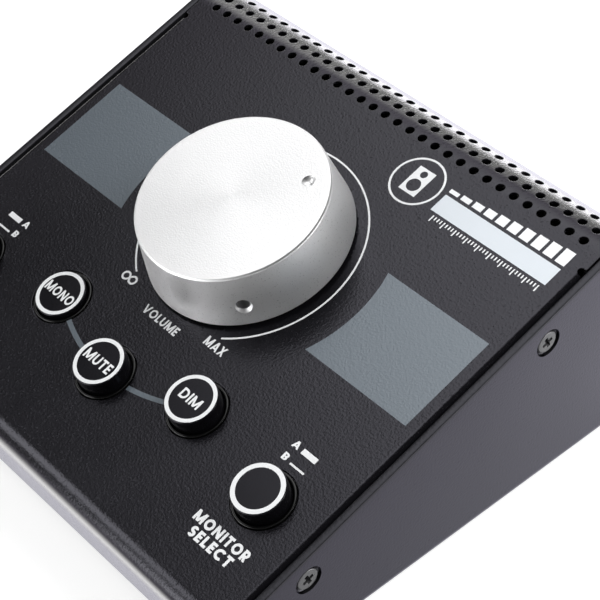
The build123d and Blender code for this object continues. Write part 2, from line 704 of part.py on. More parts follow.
def jack_pin_places():
    """Row-frame places of the six pins under each socket."""
    for frame in jack_frames():
        for line in JACK_PIN_LINES:
            for side in (-JACK_PIN_SIDE, JACK_PIN_SIDE):
                yield frame.position.X + side, REAR_Y - COVER_SHEET - line


def jack_terminals():
    """Socket pins through the jack board with their solder cones."""
    pin = soldered_pin(*jack_board_levels())
    return group(Pos(x, y, 0) * pin for x, y in jack_pin_places())


def jack_post_frames():
    """Frames on the tray floor at each jack board post, local Z pointing up."""
    for x in JACK_POSTS_X:
        yield Location((x, PANEL_Y + JACK_BOARD_FRONT + JACK_BOARD_FIXING, TRAY_FLOOR))


def jack_board():
    """Circuit board that carries the sockets."""
    bottom, top = jack_board_levels()
    front = PANEL_Y + JACK_BOARD_FRONT
    rear = REAR_Y - COVER_SHEET - 0.5
    board = Pos(0, (front + rear) / 2, 0) * block(JACK_BOARD_WIDTH, rear - front, bottom, top)
    holes = [Pos(x, y, 0) * rod(PIN_HOLE, bottom - 1, top + 1) for x, y in jack_pin_places()]
    holes += [frame * rod(M3_CLEAR, 0, top) for frame in jack_post_frames()]
    return board - holes


def jack_posts():
    """Round posts riveted to the tray floor, under the jack board."""
    height = jack_board_levels()[0] - TRAY_FLOOR
    post = rod(JACK_POST_RADIUS, 0, height) - rod(M3 + THREAD_GAP, -1, height + 1)
    return group(frame * post for frame in jack_post_frames())


def jack_board_screws():
    """Pan screws down through the jack board into its posts."""
    top = jack_board_levels()[1]
    return group(frame * Pos(0, 0, top - TRAY_FLOOR) * pan_screw(5.5) for frame in jack_post_frames())


# ---------------------------------------------------------------- link between the boards


def upper_header_frame():
    """Frame on the back of the control board at its ribbon header, local Z pointing away from it."""
    y = CONTROL_BOARD_REACH[1] - HEADER_SETBACK
    return PANEL * Location((HEADER_SHIFT, y, CONTROL_BOARD_BACK), (180, 0, 0))


def lower_header_frame():
    """Frame on top of the jack board at its ribbon header, local Z pointing up."""
    return Location((HEADER_SHIFT, PANEL_Y + JACK_BOARD_FRONT + JACK_BOARD_FIXING, jack_board_levels()[1]))


def board_headers():
    """Shrouded headers at the two ends of the ribbon."""
    width, depth, height = HEADER
    shell = block(width, depth, 0, height) - block(width - 2, RIBBON + 0.2, height - HEADER_SLOT, height + 1)
    return group([upper_header_frame() * shell, lower_header_frame() * shell])


def ribbon_cable():
    """Flat ribbon between the two headers, bent in a loose bow."""
    seated = HEADER[2] - HEADER_SLOT + RIBBON
    free = HEADER[2] + 1.4
    above = upper_header_frame() * Pos(0, 0, seated)
    leaving = upper_header_frame() * Pos(0, 0, free)
    arriving = lower_header_frame() * Pos(0, 0, free)
    below = lower_header_frame() * Pos(0, 0, seated)
    points = [(place.position.Y, place.position.Z) for place in (above, leaving, arriving, below)]
    line = FilletPolyline(*points, radius=1.0)
    strip = make_face(offset(line, amount=RIBBON / 2, side=Side.BOTH).edges())
    solid = extrude(Plane.YZ * strip, HEADER[0] / 2 - RIBBON_MARGIN, both=True)
    return Pos(HEADER_SHIFT, 0, 0) * solid


# ---------------------------------------------------------------- write every node

def build_nodes():
    """Every node of the object by name."""
    fixed = [top_cover, base_tray, cover_screws, clinch_nuts, rubber_feet, foot_screws, foot_nuts,
             pot_bushing, pot_gangs, pot_tie_rods, pot_terminals, pot_nut, pot_washer,
             button_collars, switch_bodies, switch_terminals, control_board, board_standoffs,
             board_screws, pad_resistors, jack_bodies, jack_nuts, jack_washers, jack_terminals,
             jack_board, jack_posts, jack_board_screws, board_headers, ribbon_cable,
             volume_knob, knob_set_screw, volume_shaft]
    nodes = {make.__name__: make() for make in fixed}
    for name in SWITCHES:
        nodes[f"{name}_cap"] = button_cap(name)
        nodes[f"{name}_plunger"] = button_plunger(name)
    return nodes


os.makedirs("parts", exist_ok=True)
for node_name, node_part in build_nodes().items():
    export_step(node_part, f"parts/{node_name}.step")
    size = node_part.bounding_box().size
    print(f"{node_name}: {len(node_part.solids())} solid(s), {size.X:.1f} x {size.Y:.1f} x {size.Z:.1f} mm")
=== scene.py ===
# %% [markdown]
# A desktop monitor controller: a wedge of folded steel with one large volume knob, five push
# buttons and a row of jack sockets behind. Its solids already stand in the frame at their real
# size, so this lesson only dresses them: it gives each a finish, swaps the ones that need
# softer edges for finer meshes, and prints the panel.

# %% Load the frame
import json
from math import acos, atan2, copysign, cos, degrees, hypot, pi, radians, sin, tau

import bmesh
import bpy
from mathutils import Matrix, Quaternion, Vector
from mathutils.geometry import delaunay_2d_cdt


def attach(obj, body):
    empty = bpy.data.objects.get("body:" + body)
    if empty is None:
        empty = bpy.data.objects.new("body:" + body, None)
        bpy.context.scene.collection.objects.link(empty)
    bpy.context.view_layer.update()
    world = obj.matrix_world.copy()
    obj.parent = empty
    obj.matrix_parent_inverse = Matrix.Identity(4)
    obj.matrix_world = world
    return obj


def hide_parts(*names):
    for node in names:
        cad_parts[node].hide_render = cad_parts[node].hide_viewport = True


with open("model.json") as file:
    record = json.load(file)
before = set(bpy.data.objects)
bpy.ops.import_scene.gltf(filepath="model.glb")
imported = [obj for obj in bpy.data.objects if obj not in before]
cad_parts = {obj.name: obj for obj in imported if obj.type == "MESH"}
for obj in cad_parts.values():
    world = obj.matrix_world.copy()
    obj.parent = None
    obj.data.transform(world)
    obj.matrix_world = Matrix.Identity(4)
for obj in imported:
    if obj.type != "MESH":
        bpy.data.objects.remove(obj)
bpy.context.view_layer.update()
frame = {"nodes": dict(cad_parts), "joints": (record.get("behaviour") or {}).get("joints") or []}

MM = 0.001

# %% [markdown]
# The panel slopes towards the player. Working in row coordinates would mean turning every
# measure by hand. Instead the volume joint says where the panel is: its axis is square to the
# panel, and its place lies on it. From those two the lesson makes a matrix whose X runs right,
# Y up the slope and Z out of the panel, in millimetres.

# %% Panel frame from the volume joint
KNOB_UP = 6.35
volume_joint = next(joint for joint in frame["joints"] if joint["name"] == "volume_turn")
OUT = -Vector(volume_joint["axis"]).normalized()
RIGHT = Vector((1, 0, 0))
UP_SLOPE = OUT.cross(RIGHT)
PANEL_ORIGIN = Vector(volume_joint["pos_m"]) - UP_SLOPE * KNOB_UP * MM
TURN = Matrix((RIGHT, UP_SLOPE, OUT)).transposed().to_4x4()
ROW = Matrix.Scale(MM, 4)
PANEL = Matrix.Translation(PANEL_ORIGIN) @ TURN @ ROW
SLOPE = atan2(UP_SLOPE.z, UP_SLOPE.y)


def on_panel(x, y, z=0.0):
    """Matrix that stands a shape, made on local Z in millimetres, at a place on the panel."""
    return PANEL @ Matrix.Translation((x, y, z))


print("panel slope", round(degrees(SLOPE), 2), "degrees")

# %% [markdown]
# A long lens keeps a small object free of stretch. The camera stands high at the front right,
# 0.41 m from the panel's middle, and is tipped a little about its own axis.

# %% Camera
CAMERA_PLACE = Vector((0.2480, -0.18534, 0.31016))
CAMERA_LOOK = Vector((-0.57173, 0.46381, -0.67676))
CAMERA_ROLL = radians(-3.154)
LENS = 112.61


def add_object(name, data):
    """New object in the scene."""
    made = bpy.data.objects.new(name, data)
    bpy.context.collection.objects.link(made)
    return made


camera_data = bpy.data.cameras.new("camera")
camera_data.lens = LENS
camera_data.sensor_width = 36.0
camera_data.clip_start = 0.01
camera_data.clip_end = 20.0
camera = add_object("camera", camera_data)
camera.rotation_mode = "QUATERNION"
camera.location = CAMERA_PLACE
camera.rotation_quaternion = CAMERA_LOOK.to_track_quat("-Z", "Y") @ Quaternion((0, 0, 1), CAMERA_ROLL)
bpy.context.scene.camera = camera
bpy.context.scene.view_settings.view_transform = "Standard"
print("camera", round((CAMERA_PLACE - PANEL_ORIGIN).length, 3), "m from the panel")

# %% [markdown]
# Every material below is a small network of nodes. A few helpers keep those networks readable:
# they fill a node's inputs, add a node, do sums, start a material, or open a group.

# %% Node helpers
def feed(tree, made, inputs):
    """Fills a node's inputs. One given as a socket is linked, any other value is set."""
    for name, value in inputs.items():
        if isinstance(value, bpy.types.NodeSocket):
            tree.links.new(value, made.inputs[name])
        else:
            made.inputs[name].default_value = value
    return made


def node(tree, kind, inputs=None, **settings):
    """Adds a node, sets it up and fills its inputs."""
    made = tree.nodes.new("ShaderNode" + kind)
    for name, value in settings.items():
        setattr(made, name, value)
    return feed(tree, made, inputs or {})


def maths(tree, operation, first, second=0.0):
    """One Math node's result."""
    return node(tree, "Math", {0: first, 1: second}, operation=operation).outputs[0]


def times(tree, first, second):
    """Product of two values."""
    return maths(tree, "MULTIPLY", first, second)


def dot(tree, first, second):
    """How far two directions agree."""
    return node(tree, "VectorMath", {0: first, 1: second}, operation="DOT_PRODUCT").outputs["Value"]


def ramp(tree, value, from_low, from_high, to_low=0.0, to_high=1.0):
    """Smooth step of a value between two levels."""
    levels = {"Value": value, "From Min": from_low, "From Max": from_high,
              "To Min": to_low, "To Max": to_high}
    return node(tree, "MapRange", levels, interpolation_type="SMOOTHSTEP").outputs[0]


def blend_colour(tree, share, low, high):
    """Mix of two colours."""
    return node(tree, "Mix", {0: share, 6: low, 7: high}, data_type="RGBA").outputs[2]


def new_material(name):
    """Material with the default shader, and its node tree."""
    material = bpy.data.materials.new(name)
    material.use_nodes = True
    return material, material.node_tree


def open_group(name, inputs, outputs):
    """A shader node group with named inputs and outputs, and its two end nodes."""
    group = bpy.data.node_groups.new(name, "ShaderNodeTree")
    for label, value in inputs.items():
        kind = "NodeSocketColor" if isinstance(value, tuple) else "NodeSocketFloat"
        group.interface.new_socket(label, in_out="INPUT", socket_type=kind).default_value = value
    for label, kind in outputs.items():
        group.interface.new_socket(label, in_out="OUTPUT", socket_type="NodeSocket" + kind)
    return group, group.nodes.new("NodeGroupInput").outputs, group.nodes.new("NodeGroupOutput")


print("node helpers ready")

# %% [markdown]
# The object stands on a white table. The table keeps its shadow: part of it is plain white paint
# under the lamps, and a glow that only the camera sees lifts that to pure white. Reflections get
# a glow of their own with light and shade painted into it: painted shade close to the object,
# where it would shade its own table, a little painted light right under its front edge, and more
# painted light towards the bright backdrop.

# %% White table
TABLE_WIDTH = 6.0
TABLE_PAINT = 0.48
TABLE_GLOW = 0.76
TABLE_SHINE = 0.56
# Painted light and painted shade in the glow that reflections see.
PAINTED_REAR_LIGHT = 0.80
REAR_LIGHT_SPAN = (0.0, 0.18)
FRONT_LIGHT_SPAN = (-0.056, -0.040)
FRONT_LIGHT_SIDE = (0.060, 0.067)
PAINTED_FRONT_LIGHT = 0.26
OBJECT_HALF = 0.066
PAINTED_SHADE_REACH = 0.035
PAINTED_SHADE_SHARE = 0.70


def flat_sheet(name, width, height, material):
    """Flat rectangle for the studio."""
    x, y = width / 2, height / 2
    mesh = bpy.data.meshes.new(name)
    mesh.from_pydata([(-x, -y, 0), (x, -y, 0), (x, y, 0), (-x, y, 0)], [], [(0, 1, 2, 3)])
    mesh.materials.append(material)
    return add_object(name, mesh)


def white_table():
    """Large white sheet at height zero."""
    material, tree = new_material("table_white")
    tree.nodes.clear()
    paths = node(tree, "LightPath").outputs
    mirrored = maths(tree, "MAXIMUM", paths["Is Glossy Ray"], paths["Is Transmission Ray"])
    paint = node(tree, "BsdfDiffuse", {"Color": (TABLE_PAINT, TABLE_PAINT, TABLE_PAINT, 1)}).outputs[0]
    axes = node(tree, "SeparateXYZ", {"Vector": node(tree, "TexCoord").outputs["Object"]}).outputs
    beside = maths(tree, "SUBTRACT", maths(tree, "ABSOLUTE", axes["X"]), OBJECT_HALF)
    before = maths(tree, "SUBTRACT", maths(tree, "ABSOLUTE", axes["Y"]), OBJECT_HALF)
    # Painted shade: the glow that reflections see is dimmed close to the object.
    painted_shade = ramp(tree, maths(tree, "MAXIMUM", beside, before), 0.0, PAINTED_SHADE_REACH, PAINTED_SHADE_SHARE, 1.0)
    # Painted light: the reflected glow grows towards the backdrop.
    shine = times(tree, painted_shade, ramp(tree, axes["Y"], *REAR_LIGHT_SPAN, TABLE_SHINE, PAINTED_REAR_LIGHT))
    # Painted light: a brighter band of reflected glow right under the front edge.
    front = times(tree, ramp(tree, axes["Y"], *FRONT_LIGHT_SPAN, PAINTED_FRONT_LIGHT, 0.0),
                  ramp(tree, axes["X"], *FRONT_LIGHT_SIDE, 1.0, 0.0))
    shine = times(tree, shine, maths(tree, "ADD", front, 1.0))
    strength = maths(tree, "ADD", times(tree, paths["Is Camera Ray"], TABLE_GLOW),
                     times(tree, mirrored, shine))
    glow = node(tree, "Emission", {"Color": (1, 1, 1, 1), "Strength": strength}).outputs[0]
    both = node(tree, "AddShader", {0: paint, 1: glow}).outputs[0]
    node(tree, "OutputMaterial", {"Surface": both})
    table = flat_sheet("table", TABLE_WIDTH, TABLE_WIDTH, material)
    return table


print("table", white_table().dimensions.x, "m wide")

# %% [markdown]
# Dark paint shows what it mirrors more than its own colour, so the studio around it matters.
# The world is that studio: a white backdrop low down at the back, and above it a dark room with
# one broad soft light over the back. Its soft rim falls across the panel's reflection, which is
# what makes black paint fade from deep to pale. A small soft patch at the front left lays a grey
# band along the front bend. The camera itself always sees plain white.

# %% Studio world
ROOM = 0.04
SOFTBOX = 2.26
SOFTBOX_CENTRE = Vector((0.10, 0.55, 0.83)).normalized()
SOFTBOX_RIM = (0.50, 0.74)
SOFTBOX_SIDE = (-0.25, 0.15)
SOFTBOX_FOOT = (0.46, 0.76)
FOOT_SHARE = 0.10
PATCH_LIGHT = 3.6
PATCH_CENTRE = Vector((-0.63, -0.50, 0.59)).normalized()
PATCH_RIM = (0.955, 0.99)
BACKDROP_TOP = (0.12, 0.28)
BACKDROP_SIDES = (-0.35, 0.25)


def studio_world():
    """White backdrop, dark room, a broad soft light above the back and a patch in front."""
    world = bpy.data.worlds.new("studio")
    bpy.context.scene.world = world
    world.use_nodes = True
    tree = world.node_tree
    tree.nodes.clear()
    toward = node(tree, "TexCoord").outputs["Generated"]
    axes = node(tree, "SeparateXYZ", {"Vector": toward}).outputs
    low = ramp(tree, axes["Z"], *BACKDROP_TOP, 1.0, 0.0)
    backdrop = times(tree, low, ramp(tree, axes["Y"], *BACKDROP_SIDES))
    shape = times(tree, ramp(tree, dot(tree, toward, SOFTBOX_CENTRE), *SOFTBOX_RIM),
                  ramp(tree, axes["X"], *SOFTBOX_SIDE, 1.0, 0.0))
    shape = times(tree, shape, ramp(tree, axes["Z"], *SOFTBOX_FOOT, FOOT_SHARE, 1.0))
    light = maths(tree, "ADD", times(tree, shape, SOFTBOX), ROOM)
    patch = ramp(tree, dot(tree, toward, PATCH_CENTRE), *PATCH_RIM)
    light = maths(tree, "ADD", light, times(tree, patch, PATCH_LIGHT))
    level = node(tree, "Mix", {0: backdrop, 2: light, 3: 1.0}).outputs[0]
    seen = node(tree, "LightPath").outputs["Is Camera Ray"]
    strength = node(tree, "Mix", {0: seen, 2: level, 3: 1.0}).outputs[0]
    shine = node(tree, "Background", {"Color": (1, 1, 1, 1), "Strength": strength}).outputs[0]
    node(tree, "OutputWorld", {"Surface": shine})
    return world


print("world", studio_world().name)

# %% [markdown]
# Square area lamps give soft shadows. The fill hangs high at the right and lights only matt
# surfaces, so it lifts the inks and leaves reflections alone. The knob's side mirrors only what is
# low, so a key stands low at the right and behind, and a wide lamp low in front. A rim lamp low
# behind the left edge draws a pale line along the rear bend. A black card beside the camera keeps
# its side of the metal dark, and the camera can't see the card.

# %% Soft lamps and a black card
LAMPS = {  # place, width, power, seen in reflections
    "fill_light": ((0.24, 0.12, 0.32), 0.20, 1.35, False),
    "key_light": ((0.33, 0.20, 0.06), 0.16, 0.55, True),
    "rim_light": ((-0.62, 1.02, 0.08), 0.36, 0.5, True),
    "front_light": ((-0.15, -0.57, 0.12), 0.30, 1.3, True),
}
LAMP_TARGET = Vector((0, 0, 0.03))
CARD_PLACE = Vector((0.46, -0.35, 0.24))
CARD_SIZE = (0.38, 0.50)
CARD_BLACK = (0.02, 0.02, 0.02, 1)


def aim(holder, place):
    """Puts a thing in its place with local -Z towards the object."""
    holder.location = place
    holder.rotation_mode = "QUATERNION"
    holder.rotation_quaternion = (LAMP_TARGET - Vector(place)).to_track_quat("-Z", "Y")


def soft_lamp(name, place, width, power, mirrored):
    """Square area lamp aimed at the object. One that isn't mirrored lights only matt surfaces."""
    lamp = bpy.data.lights.new(name, "AREA")
    lamp.size = width
    lamp.energy = power
    holder = add_object(name, lamp)
    aim(holder, place)
    holder.visible_camera = False
    holder.visible_glossy = mirrored


def black_card():
    """Upright black card that only reflections see."""
    material, tree = new_material("card_black")
    tree.nodes["Principled BSDF"].inputs["Base Color"].default_value = CARD_BLACK
    card = flat_sheet("card", *CARD_SIZE, material)
    aim(card, CARD_PLACE)
    card.visible_camera = False
    card.visible_shadow = False
    card.visible_diffuse = False


for lamp_name, lamp_values in LAMPS.items():
    soft_lamp(lamp_name, *lamp_values)
black_card()
print("lamps", list(LAMPS))

# %% [markdown]
# Powder paint, blasted metal and moulded plastic share one thing: a skin of tiny lumps. One
# group makes them all. It puts out a height for a Bump node and a mask of the few lumps that
# stand out. Its size is given in millimetres, so a value can be checked with a ruler.

# %% Group: fine grain
FLECK_LEVELS = (0.62, 0.74)
MM_PER_M = 1000.0


def fine_grain():
    """Lumps of a given size over the surface."""
    group, given, result = open_group("fine_grain", {"Size": 0.5, "Roughness": 0.5},
                                      {"Height": "Float", "Fleck": "Float"})
    place = node(group, "TexCoord").outputs["Object"]
    scale = maths(group, "DIVIDE", MM_PER_M, given["Size"])
    noise = node(group, "TexNoise", {"Vector": place, "Scale": scale, "Detail": 2.0,
                                     "Roughness": given["Roughness"]}).outputs[0]
    fleck = ramp(group, noise, *FLECK_LEVELS)
    feed(group, result, {"Height": noise, "Fleck": fleck})
    return group


GRAIN = fine_grain()
print("group", GRAIN.name)

# %% [markdown]
# No surface reflects evenly. Fingers, cloths and the coating itself leave broad patches that
# are a little duller or paler. This group drifts a colour and a roughness together, slowly.

# %% Group: surface drift
def surface_drift():
    """Slow change of colour and roughness over the surface."""
    inputs = {"Colour": (0.5, 0.5, 0.5, 1), "Roughness": 0.5, "Patch": 20.0,
              "Tint Change": 0.1, "Roughness Change": 0.05}
    group, given, result = open_group("surface_drift", inputs,
                                      {"Colour": "Color", "Roughness": "Float"})
    place = node(group, "TexCoord").outputs["Object"]
    scale = maths(group, "DIVIDE", MM_PER_M, given["Patch"])
    noise = node(group, "TexNoise", {"Vector": place, "Scale": scale, "Detail": 3.0}).outputs[0]
    swing = maths(group, "SUBTRACT", noise, 0.5)
    gain = maths(group, "ADD", times(group, swing, given["Tint Change"]), 1.0)
    tinted = node(group, "VectorMath", {0: given["Colour"], "Scale": gain}, operation="SCALE")
    spread = times(group, swing, given["Roughness Change"])
    feed(group, result, {"Colour": tinted.outputs[0],
                         "Roughness": maths(group, "ADD", given["Roughness"], spread)})
    return group


DRIFT = surface_drift()
print("group", DRIFT.name)

# %% [markdown]
# A finish starts the same way every time: a Principled shader, its plain values set straight
# on its sockets, its colour and roughness from the drift group, its skin from the grain group
# through a Bump node. Each finish then adds what only it has.

# %% Start of a finish
def finish(name, colour, roughness, grain, drift, **sockets):
    """Material with drifting colour and roughness and a grained skin. Returns its parts."""
    material, tree = new_material(name)
    shader = tree.nodes["Principled BSDF"]
    feed(tree, shader, {socket.replace("_", " "): value for socket, value in sockets.items()})
    size, depth = grain
    patch, tint, dullness = drift
    values = {"Colour": (*colour, 1), "Roughness": roughness, "Patch": patch,
              "Tint Change": tint, "Roughness Change": dullness}
    body = node(tree, "Group", values, node_tree=DRIFT).outputs
    skin = node(tree, "Group", {"Size": size}, node_tree=GRAIN).outputs
    bump = node(tree, "Bump", {"Height": skin["Height"], "Distance": depth * MM, "Strength": 1.0})
    feed(tree, shader, {"Base Color": body["Colour"], "Roughness": body["Roughness"],
                        "Normal": bump.outputs[0]})
    return material, tree, shader, body, skin


def dress(material, *nodes):
    """Gives a material to carried-over solids."""
    for name in nodes:
        for slot in frame["nodes"][name].material_slots:
            slot.link = "OBJECT"
            slot.material = material


print("each finish starts from", GRAIN.name, "and", DRIFT.name)

# %% [markdown]
# The cover wears black powder paint. Seen square on it is nearly black, but at a low angle the
# paint's smooth top film mirrors the white room, so the bends and the front face turn pale. A
# Layer Weight node finds those low angles. There the paint first becomes a dark mirror and then a
# pale one, because paint that is half mirror would show a false grey where the room is dark. The
# few lumps that stand out stay duller than the rest.

# %% Cover paint
PAINT_BLACK = (0.0035, 0.0033, 0.0042)
PAINT_ROUGHNESS = 0.23
PAINT_TINT = (0.88, 0.87, 1.0, 1.0)
PAINT_FILM = (0.036, 0.034, 0.040)
PAINT_SHEEN = (0.645, 0.64, 0.62)
SHEEN_ANGLES = (0.35, 0.58)
FILM_EDGE = 0.08
PAINT_GRAIN = (0.54, 0.052)
PAINT_DRIFT = (14.0, 0.5, 0.08)
LUMP_DULLNESS = 0.25


def black_paint(name, colour, roughness, sheen, angles):
    """Black powder paint that pales at low angles."""
    material, tree, shader, body, skin = finish(
        name, colour, roughness, PAINT_GRAIN, PAINT_DRIFT,
        Specular_IOR_Level=0.46, Specular_Tint=PAINT_TINT)
    facing = node(tree, "LayerWeight", {"Blend": 0.5}).outputs["Facing"]
    film = ramp(tree, facing, angles[0] - FILM_EDGE, angles[0])
    shine = blend_colour(tree, ramp(tree, facing, *angles), (*PAINT_FILM, 1), (*sheen, 1))
    mirror = blend_colour(tree, film, body["Colour"], shine)
    lumps = times(tree, skin["Fleck"], LUMP_DULLNESS)
    feed(tree, shader, {"Base Color": mirror, "Metallic": film,
                        "Roughness": maths(tree, "ADD", body["Roughness"], lumps)})
    return material


COVER_PAINT = black_paint("cover_paint", PAINT_BLACK, PAINT_ROUGHNESS, PAINT_SHEEN, SHEEN_ANGLES)
print("finish", COVER_PAINT.name)

# %% [markdown]
# The tray wears the same kind of paint in a slightly paler black. Its film mirrors less, and
# only at lower angles, so its upright sides stay a deep grey above a white table.

# %% Tray paint
TRAY_BLACK = (0.008, 0.008, 0.009)
TRAY_ROUGHNESS = 0.30
TRAY_SHEEN = (0.20, 0.20, 0.21)
TRAY_ANGLES = (0.46, 0.70)
TRAY_PAINT = black_paint("tray_paint", TRAY_BLACK, TRAY_ROUGHNESS, TRAY_SHEEN, TRAY_ANGLES)
print("finish", TRAY_PAINT.name)

# %% [markdown]
# The knob is turned from aluminium, blasted with fine beads and anodised clear. The beads leave
# a frosted skin with tiny dark pits that scatters the room into one even white. The top is the
# smoother face with fewer pits. The surface's direction tells the material which of the two it is.

# %% Knob metal
ALUMINIUM = (0.97, 0.97, 0.975)
KNOB_GRAIN = (0.36, 0.034)
KNOB_DRIFT = (9.0, 0.04, 0.06)
SIDE_PITS = 0.30
TOP_PITS = 0.03
SIDE_ROUGHNESS = 0.49
TOP_SMOOTHER = 0.07
TOP_LEVELS = (0.5, 0.9)


def knob_metal():
    """Clear anodised aluminium with turning marks under a bead-blasted skin."""
    material, tree, shader, body, skin = finish(
        "knob_aluminium", ALUMINIUM, SIDE_ROUGHNESS, KNOB_GRAIN, KNOB_DRIFT,
        Metallic=1.0, Anisotropic=0.25)
    level = dot(tree, node(tree, "NewGeometry").outputs["Normal"], OUT)
    pits = times(tree, skin["Fleck"], ramp(tree, level, *TOP_LEVELS, SIDE_PITS, TOP_PITS))
    pitted = blend_colour(tree, pits, body["Colour"], (0, 0, 0, 1))
    smoother = times(tree, ramp(tree, level, *TOP_LEVELS), TOP_SMOOTHER)
    around = node(tree, "Tangent", direction_type="UV_MAP", uv_map="around")
    feed(tree, shader, {"Base Color": pitted, "Tangent": around.outputs[0],
                        "Roughness": maths(tree, "SUBTRACT", body["Roughness"], smoother)})
    return material


KNOB_METAL = knob_metal()
print("finish", KNOB_METAL.name)

# %% [markdown]
# The remaining finishes are quick variations: what differs is the colour, how dull the surface
# is, how coarse its grain is, and whether it is metal. So they stand in one table, each with the
# solids that wear it: colour, roughness, grain (size and height in millimetres), drift (patch,
# tint change, roughness change), plain shader values, solids.

# %% Plastics, metals, rubber and boards
METAL = {"Metallic": 1.0}
FINISHES = {
    "cap_plastic": ((0.0035, 0.0033, 0.0042), 0.20, (0.6, 0.004), (6.0, 0.3, 0.08),
                    {"Specular_IOR_Level": 0.36, "Specular_Tint": PAINT_TINT},
                    "mono_cap mute_cap dim_cap source_cap monitor_cap"),
    "collar_plastic": ((0.003, 0.003, 0.003), 0.10, (0.8, 0.003), (6.0, 0.3, 0.06),
                       {"Specular_IOR_Level": 0.40}, "button_collars"),
    "switch_plastic": ((0.62, 0.61, 0.57), 0.45, (0.4, 0.006), (5.0, 0.1, 0.08), {},
                       "switch_bodies mono_plunger mute_plunger dim_plunger source_plunger monitor_plunger"),
    "jack_plastic": ((0.016, 0.016, 0.017), 0.38, (0.3, 0.010), (6.0, 0.3, 0.1), {}, "jack_bodies"),
    "header_plastic": ((0.70, 0.68, 0.60), 0.50, (0.4, 0.006), (5.0, 0.1, 0.1), {}, "board_headers"),
    "foot_rubber": ((0.022, 0.022, 0.023), 0.72, (0.35, 0.020), (5.0, 0.4, 0.1), {}, "rubber_feet"),
    "pot_phenolic": ((0.14, 0.062, 0.028), 0.55, (0.5, 0.010), (4.0, 0.4, 0.1), {}, "pot_gangs"),
    "ribbon_vinyl": ((0.42, 0.43, 0.45), 0.42, (0.6, 0.004), (8.0, 0.1, 0.1), {}, "ribbon_cable"),
    "zinc_steel": ((0.62, 0.64, 0.66), 0.34, (0.3, 0.004), (3.0, 0.15, 0.15), METAL,
                   "board_screws board_standoffs clinch_nuts foot_nuts foot_screws jack_board_screws "
                   "jack_posts pot_tie_rods"),
    "nickel_brass": ((0.72, 0.70, 0.66), 0.24, (0.3, 0.003), (3.0, 0.1, 0.12), METAL,
                     "jack_nuts jack_washers pot_bushing pot_nut pot_washer volume_shaft"),
    "tinned_pins": ((0.78, 0.78, 0.77), 0.30, (0.3, 0.006), (1.5, 0.15, 0.15), METAL,
                    "jack_terminals pot_terminals switch_terminals"),
    "black_screw": ((0.110, 0.110, 0.115), 0.34, (0.25, 0.004), (1.5, 0.3, 0.15), {"Metallic": 0.6},
                    "cover_screws knob_set_screw"),
    "board_laminate": ((0.012, 0.085, 0.040), 0.35, (0.5, 0.008), (3.0, 0.5, 0.15), {},
                       "control_board jack_board"),
    "resistor_lacquer": ((0.30, 0.47, 0.58), 0.30, (0.4, 0.008), (1.5, 0.3, 0.1), {}, "pad_resistors"),
}
plain = {}
for name, (colour, roughness, grain, drift, sockets, solids) in FINISHES.items():
    plain[name], *_ = finish(name, colour, roughness, grain, drift, **sockets)
    dress(plain[name], *solids.split())
dress(COVER_PAINT, "top_cover")
dress(TRAY_PAINT, "base_tray")
print("finishes", len(plain), "for", len(frame["nodes"]), "nodes")

# %% [markdown]
# Three inks are printed on the panel: an opaque white, a cooler grey-white for the plain bar,
# and a slate grey for the broad fields. Screen ink lies on the paint as a thin film and takes on
# its lumps. The slate ink is the glossiest, with a cool mirror, so its fields pale to the right,
# where they mirror more of the soft light.

# %% Printing inks
SLATE_TINT = (0.86, 0.93, 1.0, 1.0)
WHITE_INK, *_ = finish("white_ink", (0.76, 0.77, 0.78), 0.48, (0.42, 0.012), (3.0, 0.08, 0.08),
                      Specular_IOR_Level=0.34)
BAR_INK, *_ = finish("bar_ink", (0.60, 0.64, 0.68), 0.48, (0.42, 0.012), (6.0, 0.06, 0.08),
                    Specular_IOR_Level=0.34)
SLATE_INK, *_ = finish("slate_ink", (0.076, 0.092, 0.108), 0.27, (0.50, 0.040), (12.0, 0.05, 0.03),
                      IOR=1.55, Specular_IOR_Level=1.0, Specular_Tint=SLATE_TINT)
print("inks", WHITE_INK.name, BAR_INK.name, SLATE_INK.name)

# %% [markdown]
# A piece is built in millimetres as a bmesh, moved into the row frame by its matrix, smoothed
# where faces meet at a shallow angle, and set to ride on the body that carries it. A modifier
# keeps broad flat faces flat next to small roundings. Folded sheet with holes in a bend needs
# more, or every hole leaves a stripe: there the broad faces get the fold's own exact direction.

# %% Adding a piece
SHARP_ANGLE = 35.0
MERGE = 1e-5
SKIN_MATCH = 0.97


def follow_skin(mesh, place, skin):
    """Gives the broad faces of folded sheet the exact direction of the fold, edges their own."""
    back, turn = place.inverted(), place.to_3x3().normalized()
    normals = [Vector()] * len(mesh.loops)
    for face in mesh.polygons:
        for index in face.loop_indices:
            exact = turn @ skin(back @ mesh.vertices[mesh.loops[index].vertex_index].co)
            aligned = exact.dot(face.normal)
            if abs(aligned) > SKIN_MATCH:
                normals[index] = exact if aligned > 0 else -exact
    mesh.normals_split_custom_set(normals)


def add_piece(name, shape, place, body, material, sharp=SHARP_ANGLE, skin=None):
    """Object from a bmesh in millimetres, riding on a body."""
    shape.transform(place)
    bmesh.ops.recalc_face_normals(shape, faces=shape.faces)
    mesh = bpy.data.meshes.new(name)
    shape.to_mesh(mesh)
    shape.free()
    mesh.shade_smooth()
    mesh.set_sharp_from_angle(angle=radians(sharp))
    mesh.materials.append(material)
    piece = add_object(name, mesh)
    if skin:
        follow_skin(mesh, place, skin)
    else:
        normals = piece.modifiers.new("normals", "WEIGHTED_NORMAL")
        normals.weight = 100
        normals.keep_sharp = True
    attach(piece, body)
    return piece


